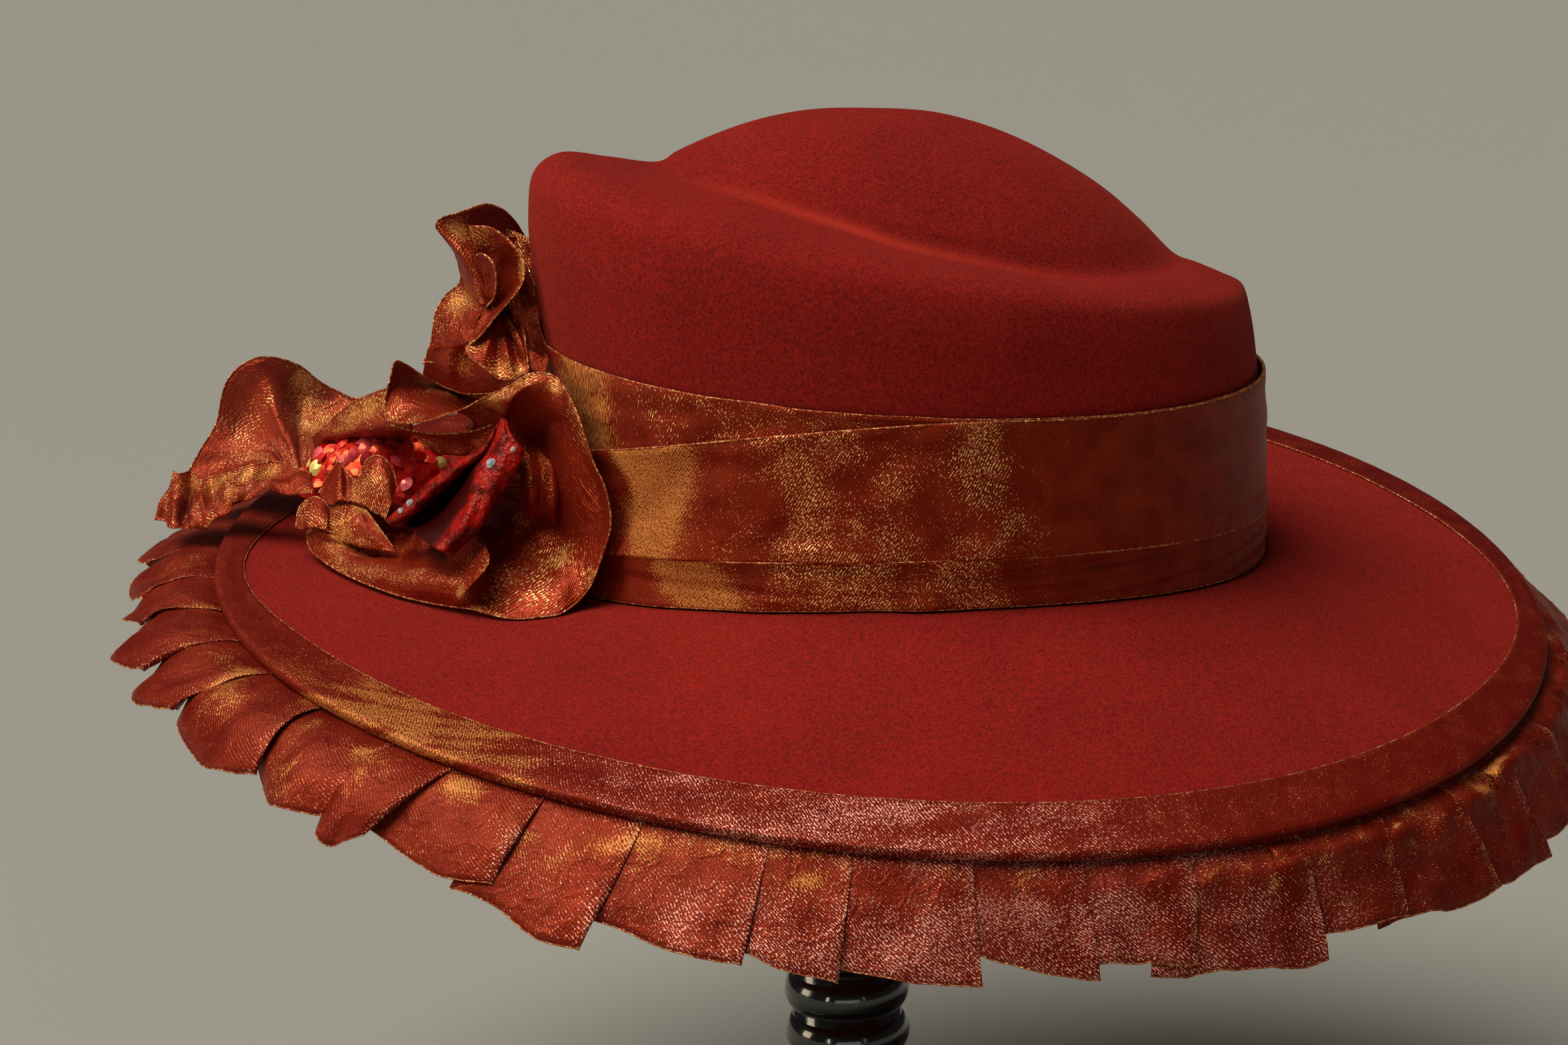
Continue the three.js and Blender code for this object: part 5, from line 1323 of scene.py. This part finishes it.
back_near = [
    [(-170.5, 0, 13.7), (-168.7, -4, 13), (-166.6, -8, 12.3)],
    [(-167.1, 2, 19.3), (-165.6, -5, 16.5), (-164.2, -9, 13)],
    [(-164.1, 2, 22.6), (-163.1, -6, 19), (-162.4, -10, 13.8)],
    [(-161.6, -2, 20.2), (-161.5, -5, 17), (-160.7, -11, 14)],
    [(-158.2, -6, 19.4), (-158.7, -8, 16.5), (-158.4, -12, 13.6)],
    [(-155.1, -4, 24.4), (-154.9, -11, 19.5), (-155.5, -14, 13)],
    [(-151.2, -6, 25.9), (-151.4, -13, 19.9), (-152.6, -16, 11.7)],
    [(-147.7, -8, 23), (-148.5, -15, 18.1), (-150.3, -18, 10.8)],
    [(-146, -12, 18.3), (-147.2, -17, 14.6), (-149, -20, 10.1)],
]
back_lump = [
    [(-176.9, -6, 5), (-175.8, -8, 5.2), (-174.6, -9, 5.2)],
    [(-176.1, -3, 10.1), (-174.5, -8, 8), (-173.3, -10, 5.7)],
    [(-172.8, -2, 12.9), (-171.8, -9, 9.9), (-171.4, -12, 6.2)],
    [(-169.2, -4, 13), (-168.9, -10, 10.1), (-168.8, -13, 6.3)],
    [(-166.7, -6, 10.6), (-166.7, -11, 8.6), (-166.8, -14, 6)],
]
# Painted gold highlights on the back flower's petals and frill: place and size.
back_painted_highlights = [
    (-179, 54, 29, 8), (-175, 50, 25, 8), (-180, 47, 23, 8), (-171, 52, 27, 7), (-176, 42, 20, 7),
    (-182, 57, 35, 5), (-162, 20, 31, 5), (-157, 16, 34, 6), (-151, 12, 37, 5), (-209, 21, 12, 5),
    (-204, 18, 12, 5), (-200, 16, 14, 4), (-192, 14, 15, 5), (-186, 15, 16, 5), (-213, 17, 11, 4),
    (-197, 8, 11, 4),
]

thin_cloth = organza(
    "thin_organza", 0.9, 0.92, gold_glint, copper=0.75, rough=0.28, satin=0.35, folds=1.2, ridges=0.15
)
flower_back, back_wire = ribbon_flower(
    "back_flower",
    [
        petal(back_far, 24, 120, 0.5, 0.7, 9.0),
        petal(back_bridge, 12, 50, 0.5, 0.4, 10.0),
        petal(back_crumple, 20, 110, 2.4, 1.2, 11.0),
        petal(back_near, 18, 90, 0.5, 0.4, 12.0),
        petal(back_lump, 12, 50, 0.6, 0.4, 13.0),
    ],
    thin_cloth,
    back_painted_highlights,
)
for piece in (flower_back, back_wire):
    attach(piece, "root")
    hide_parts("flower_back")

# Red leaf: stiff red fabric folded into an open pod in the front flower, with a hollow on the left whose
# darkness is painted shade, a wrinkled bright roll on the right and small cut stones glued along its rims.
# Each row of the table goes from the left rim through the hollow to the right roll, from tip to mouth.
leaf_pod = [
    [
        (-112.6, -36, 43.6), (-112.5, -36, 43.6), (-112.4, -36, 43.5),
        (-112.1, -38, 43.9), (-111.5, -39, 43.9), (-112, -36, 43),
    ],
    [
        (-118.7, -33, 34.7), (-117.8, -34, 34), (-118.1, -26, 30.5),
        (-114.1, -40, 37.3), (-109.7, -43, 40), (-111.1, -36, 37.4),
    ],
    [
        (-126.5, -30, 29.3), (-124.6, -32, 28.8), (-124.1, -20, 23.5),
        (-117.1, -45, 31.8), (-106.7, -46, 35.5), (-109.3, -37, 31.4),
    ],
    [
        (-135.6, -28, 22.8), (-133.2, -31, 21.9), (-130.8, -18, 16.3),
        (-119.8, -49, 25.9), (-111.4, -49, 28.1), (-114.3, -39, 24.3),
    ],
    [
        (-142, -27, 17.1), (-139.7, -30, 16.2), (-135.7, -20, 12.5),
        (-122.7, -52, 20), (-116.4, -52, 20.4), (-118.9, -42, 17.2),
    ],
    [
        (-146.2, -27, 13.4), (-143.9, -29, 12.7), (-139.3, -22, 10),
        (-126.4, -54, 15.1), (-120.4, -54, 15.2), (-122.8, -45, 12.3),
    ],
    [
        (-147.9, -27, 11.9), (-146.5, -28, 11.2), (-142.8, -24, 9.4),
        (-130.2, -56, 11), (-126.8, -55, 9.6), (-128.6, -47, 7.4),
    ],
]
# Each stone: its share across and along the leaf, and its radius.
leaf_stones = [(0.68, 0.36, 1.7), (0.78, 0.31, 0.9), (0.05, 0.7, 1.3), (0.05, 0.79, 1.0)]


def leaf_velvet():
    material, nodes, links, shader = new_material("leaf_fabric")
    where = node(nodes, "ShaderNodeTexCoord")
    grain = node(nodes, "ShaderNodeTexNoise", inputs={"Scale": 260.0, "Detail": 4.0})
    vein = node(nodes, "ShaderNodeTexNoise", inputs={"Scale": 700.0, "Detail": 2.0})
    shade = node(nodes, "ShaderNodeMix", data_type="RGBA")
    shade.inputs["A"].default_value = (0.08, 0.001, 0.001, 1)
    shade.inputs["B"].default_value = (0.36, 0.006, 0.003, 1)
    bump = node(nodes, "ShaderNodeBump", inputs={"Strength": 0.8, "Distance": 0.0008})
    level = remap(nodes, 0.38, 0.62)
    links.new(where.outputs["Object"], grain.inputs["Vector"])
    links.new(where.outputs["Object"], vein.inputs["Vector"])
    # Painted shade: a mask darkens the inside of the pod's hollow towards near black.
    painted_hollow_shade = node(nodes, "ShaderNodeAttribute", attribute_name="painted_hollow_shade")
    inside = node(nodes, "ShaderNodeMix", data_type="RGBA")
    inside.inputs["B"].default_value = (0.03, 0.0008, 0.001, 1)
    links.new(grain.outputs["Fac"], level.inputs["Value"])
    links.new(level.outputs["Result"], shade.inputs["Factor"])
    links.new(painted_hollow_shade.outputs["Fac"], inside.inputs["Factor"])
    links.new(shade.outputs["Result"], inside.inputs["A"])
    links.new(inside.outputs["Result"], shader.inputs["Base Color"])
    links.new(vein.outputs["Fac"], bump.inputs["Height"])
    links.new(bump.outputs["Normal"], shader.inputs["Normal"])
    shader.inputs["Roughness"].default_value = 0.32
    shader.inputs["Specular IOR Level"].default_value = 0.35
    shader.inputs["Specular Tint"].default_value = (1.0, 0.3, 0.2, 1)
    return material


leaf_rows, leaf_columns, leaf_wall = 44, 60, 0.8
leaf_sheet = curve_through(np.array(leaf_pod, float), leaf_columns)
leaf_sheet = curve_through(np.swapaxes(leaf_sheet, 0, 1), leaf_rows)
fold = np.linspace(0, 1, leaf_rows)[:, None]
waver = 3 * np.sin(np.linspace(0, 5, leaf_columns))
wrinkles = np.sin(fold * 60 + waver) * np.clip((fold - 0.55) * 5, 0, 1) * 0.5
relief = wrinkles + drift(leaf_sheet, 7.0, 0.6, 14.0)
leaf_sheet = clear_of_hat(leaf_sheet + sheet_normals(leaf_sheet) * relief[..., None], leaf_wall)
leaf_u, leaf_v = lengths(leaf_sheet, False)
leaf_mesh = grid_mesh("red_leaf", on_hat(leaf_sheet), leaf_u, leaf_v)
# Painted shade inside the hollow, in the middle rows of the pod.
painted_hollow_shade = np.interp(fold, [0.12, 0.2, 0.58, 0.62], [0, 1, 1, 0]) * np.ones(leaf_columns)
paint(leaf_mesh, "painted_hollow_shade", painted_hollow_shade)
red_leaf = thicken(add_piece("leaf_pod", leaf_mesh, leaf_velvet()), leaf_wall, 0.0)


def cut_glass():
    material, nodes, links, shader = new_material("cut_stone")
    where = node(nodes, "ShaderNodeTexCoord")
    foil = node(nodes, "ShaderNodeTexNoise", inputs={"Scale": 500.0, "Detail": 1.0})
    shade = node(nodes, "ShaderNodeMix", data_type="RGBA")
    shade.inputs["A"].default_value = (0.5, 0.55, 0.62, 1)
    shade.inputs["B"].default_value = (0.95, 0.95, 0.95, 1)
    links.new(where.outputs["Object"], foil.inputs["Vector"])
    links.new(foil.outputs["Fac"], shade.inputs["Factor"])
    links.new(shade.outputs["Result"], shader.inputs["Base Color"])
    shader.inputs["Metallic"].default_value = 0.5
    shader.inputs["Roughness"].default_value = 0.08
    shader.inputs["IOR"].default_value = 2.2
    return material


stone_tree, nodes, links, given, made = tree_with(
    "leaf_stones",
    ("Geometry", "NodeSocketGeometry"),
    ("Facets", "NodeSocketInt"),
    ("Material", "NodeSocketMaterial"),
)
table = node(nodes, "GeometryNodeMeshCone", inputs={"Radius Top": 0.55, "Radius Bottom": 1.0, "Depth": 0.55})
place = node(nodes, "GeometryNodeInstanceOnPoints")
size = node(nodes, "GeometryNodeInputNamedAttribute", data_type="FLOAT")
size.inputs["Name"].default_value = "size"
lean = node(nodes, "GeometryNodeInputNamedAttribute", data_type="FLOAT_VECTOR")
lean.inputs["Name"].default_value = "lean"
turn = node(nodes, "FunctionNodeAlignRotationToVector", axis="Z")
links.new(given.outputs["Facets"], table.inputs["Vertices"])
links.new(given.outputs["Geometry"], place.inputs["Points"])
links.new(table.outputs["Mesh"], place.inputs["Instance"])
links.new(lean.outputs["Attribute"], turn.inputs["Vector"])
links.new(turn.outputs["Rotation"], place.inputs["Rotation"])
links.new(size.outputs["Attribute"], place.inputs["Scale"])
dress(nodes, links, given, made, place.outputs["Instances"])
leaf_normals = sheet_normals(leaf_sheet)
to_viewer = np.array([0.0, -0.97, 0.25])
seats, leans = [], []
for across, along, radius in leaf_stones:
    r, c = int(across * (leaf_rows - 1)), int(along * (leaf_columns - 1))
    normal = leaf_normals[r, c] * np.sign(leaf_normals[r, c] @ to_viewer)
    seats.append(leaf_sheet[r, c] + normal * 0.6)
    leans.append(normal)
stone_seats = bpy.data.meshes.new("stone_seats")
stone_seats.from_pydata(on_hat(seats).tolist(), [], [])
paint(stone_seats, "size", [radius / 1000 for across, along, radius in leaf_stones])
stone_leans = stone_seats.attributes.new("lean", "FLOAT_VECTOR", "POINT").data
stone_leans.foreach_set("vector", np.array(leans, np.float32).reshape(-1))
stone_glass = cut_glass()
stones = grown("leaf_stones", stone_tree, stone_seats, {"Facets": 8, "Material": stone_glass}, stone_glass)
stones.data.polygons.foreach_set("use_smooth", [False] * len(stones.data.polygons))
for piece in (red_leaf, stones):
    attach(piece, "root")
    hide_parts("red_leaf")

# Sequins: a mound of cupped red film sequins sewn in the heart of the back flower. Each leans its own way,
# and a few carry a painted gold flash.
cluster_place, cluster_size = np.array([-156.0, 24.0, 9.0]), np.array([23.0, 14.0, 16.0])
sequin_spacing, sequin_radius = 3.4, 2.7


def sequin_film():
    material, nodes, links, shader = new_material("sequin_film")
    tone = node(nodes, "ShaderNodeAttribute", attribute_name="sequin_tone")
    where = node(nodes, "ShaderNodeTexCoord")
    grain = node(nodes, "ShaderNodeTexNoise", inputs={"Scale": 700.0, "Detail": 1.0})
    ramp = node(nodes, "ShaderNodeValToRGB")
    ramp.color_ramp.elements[0].color = (0.8, 0.014, 0.012, 1)
    ramp.color_ramp.elements[1].color = (0.85, 0.12, 0.16, 1)
    extra = ramp.color_ramp.elements.new(0.6)
    extra.color = (0.85, 0.03, 0.035, 1)
    # The top of the random tone range is a painted gold flash on a few sequins.
    flash = ramp.color_ramp.elements.new(0.955)
    flash.color = (0.85, 0.12, 0.16, 1)
    ramp.color_ramp.elements[3].position = 0.96
    ramp.color_ramp.elements[3].color = (1.0, 0.72, 0.2, 1)
    gloss = remap(nodes, 0.3, 0.7, 0.22, 0.38)
    links.new(tone.outputs["Fac"], ramp.inputs["Fac"])
    links.new(ramp.outputs["Color"], shader.inputs["Base Color"])
    links.new(where.outputs["Object"], grain.inputs["Vector"])
    links.new(grain.outputs["Fac"], gloss.inputs["Value"])
    links.new(gloss.outputs["Result"], shader.inputs["Roughness"])
    shader.inputs["Metallic"].default_value = 0.3
    shader.inputs["IOR"].default_value = 1.8
    shader.inputs["Thin Film Thickness"].default_value = 420.0
    shader.inputs["Thin Film IOR"].default_value = 1.45
    return material


sequin_tree, nodes, links, given, made = tree_with(
    "sequin_mound",
    ("Geometry", "NodeSocketGeometry"),
    ("Spacing", "NodeSocketFloat"),
    ("Radius", "NodeSocketFloat"),
    ("Seed", "NodeSocketInt"),
    ("Material", "NodeSocketMaterial"),
)
scatter = node(nodes, "GeometryNodeDistributePointsOnFaces", distribute_method="POISSON")
scatter.inputs["Density Max"].default_value = 900000.0
cupped = {"Vertices": 14, "Radius Top": 0.25, "Radius Bottom": 1.0, "Depth": 0.28}
disc = node(nodes, "GeometryNodeMeshCone", inputs=cupped)
lean = node(nodes, "FunctionNodeRandomValue", data_type="FLOAT_VECTOR")
lean.inputs[0].default_value = (-0.75, -0.75, 0.0)
lean.inputs[1].default_value = (0.75, 0.75, 6.28)
tilt = node(nodes, "FunctionNodeRotateRotation", rotation_space="LOCAL")
euler = node(nodes, "FunctionNodeEulerToRotation")
place = node(nodes, "GeometryNodeInstanceOnPoints")
tone = node(nodes, "FunctionNodeRandomValue", data_type="FLOAT")
store = node(nodes, "GeometryNodeStoreNamedAttribute", data_type="FLOAT", domain="INSTANCE")
store.inputs["Name"].default_value = "sequin_tone"
join = node(nodes, "GeometryNodeJoinGeometry")
links.new(given.outputs["Geometry"], scatter.inputs["Mesh"])
links.new(given.outputs["Spacing"], scatter.inputs["Distance Min"])
links.new(given.outputs["Seed"], scatter.inputs["Seed"])
links.new(given.outputs["Seed"], lean.inputs["Seed"])
links.new(given.outputs["Seed"], tone.inputs["Seed"])
links.new(scatter.outputs["Points"], place.inputs["Points"])
links.new(disc.outputs["Mesh"], place.inputs["Instance"])
links.new(lean.outputs[0], euler.inputs["Euler"])
links.new(scatter.outputs["Rotation"], tilt.inputs["Rotation"])
links.new(euler.outputs["Rotation"], tilt.inputs["Rotate By"])
links.new(tilt.outputs["Rotation"], place.inputs["Rotation"])
links.new(given.outputs["Radius"], place.inputs["Scale"])
links.new(place.outputs["Instances"], store.inputs["Geometry"])
links.new(tone.outputs[1], store.inputs["Value"])
links.new(store.outputs["Geometry"], join.inputs["Geometry"])
links.new(given.outputs["Geometry"], join.inputs["Geometry"])
dress(nodes, links, given, made, join.outputs["Geometry"])
mound_profile = [(0, 0)] + [(math.cos(t), math.sin(t)) for t in np.linspace(0, 1.45, 9)] + [(0, 1)]
points, faces = turned(mound_profile, 40)
mound = bpy.data.meshes.new("sequin_bed")
mound.from_pydata(on_hat(points * cluster_size + cluster_place).tolist(), [], faces)
sequin_red = sequin_film()
sequins = grown(
    "sequin_mound",
    sequin_tree,
    mound,
    {
        "Spacing": sequin_spacing / 1000,
        "Radius": sequin_radius / 1000,
        "Seed": 5,
        "Material": sequin_red,
    },
    sequin_red,
)
sequins.data.polygons.foreach_set("use_smooth", [False] * len(sequins.data.polygons))
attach(sequins, "root")
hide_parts("sequin_cluster")

# Stage: a plain pale floor, soft studio light from the upper left and the front, and a camera at the height
# and angle that the hat is seen from.
floor_material, nodes, links, shader = new_material("floor_paper")
shader.inputs["Base Color"].default_value = (0.275, 0.27, 0.235, 1)
shader.inputs["Roughness"].default_value = 0.9
floor_mesh = bpy.data.meshes.new("floor")
floor_mesh.from_pydata([(-6, -4, 0), (6, -4, 0), (6, 9, 0), (-6, 9, 0)], [], [(0, 1, 2, 3)])
floor = add_piece("floor", floor_mesh, floor_material)

world = bpy.data.worlds.new("studio")
bpy.context.scene.world = world
world.use_nodes = True
world.node_tree.nodes["Background"].inputs["Color"].default_value = (1.0, 0.97, 0.92, 1)
world.node_tree.nodes["Background"].inputs["Strength"].default_value = 0.045


def studio_light(kind, name, place, aim, size, power, colour):
    light = bpy.data.lights.new(name, kind)
    if kind == "AREA":
        light.shape = "RECTANGLE"
        light.size, light.size_y = size
    else:
        light.angle = size
    light.energy = power
    light.color = colour
    lamp = bpy.data.objects.new(name, light)
    lamp.location = place
    lamp.rotation_euler = (Vector(aim) - Vector(place)).to_track_quat("-Z", "Y").to_euler()
    bpy.context.scene.collection.objects.link(lamp)


studio_light("SUN", "key", (-0.8, -0.2, 2.2), (0, 0, 0.25), math.radians(50), 3.6, (1.0, 0.96, 0.9))
studio_light("AREA", "front_left", (-0.95, -1.4, 0.34), (0, 0, 0.25), (0.1, 0.5), 1.3, (1.0, 0.93, 0.84))
studio_light("AREA", "front_low", (0.05, -1.5, 0.1), (0, 0, 0.27), (1.2, 0.4), 1.8, (1.0, 0.93, 0.84))
studio_light("AREA", "front_right", (0.9, -1.44, 0.34), (0, 0, 0.25), (0.08, 0.5), 0.14, (1.0, 0.93, 0.84))
studio_light("AREA", "left_window", (-1.6, -0.25, 0.45), (0, 0, 0.25), (0.5, 0.6), 5.4, (1.0, 0.84, 0.6))

camera = bpy.data.cameras.new("photo_view")
camera.lens, camera.sensor_width = 98.2, 36.0
camera.clip_start, camera.clip_end = 0.05, 50
viewer = bpy.data.objects.new("photo_view", camera)
eye, aim = Vector((0.020, -1.2074, 0.5485)), Vector((-0.0147, 0.0, 0.2267))
facing = (aim - eye).to_track_quat("-Z", "Y").to_matrix().to_4x4()
viewer.matrix_world = Matrix.Translation(eye) @ facing @ Matrix.Rotation(math.radians(-1.7), 4, "Z")
bpy.context.scene.collection.objects.link(viewer)
bpy.context.scene.camera = viewer
bpy.context.scene.view_settings.view_transform = "Standard"
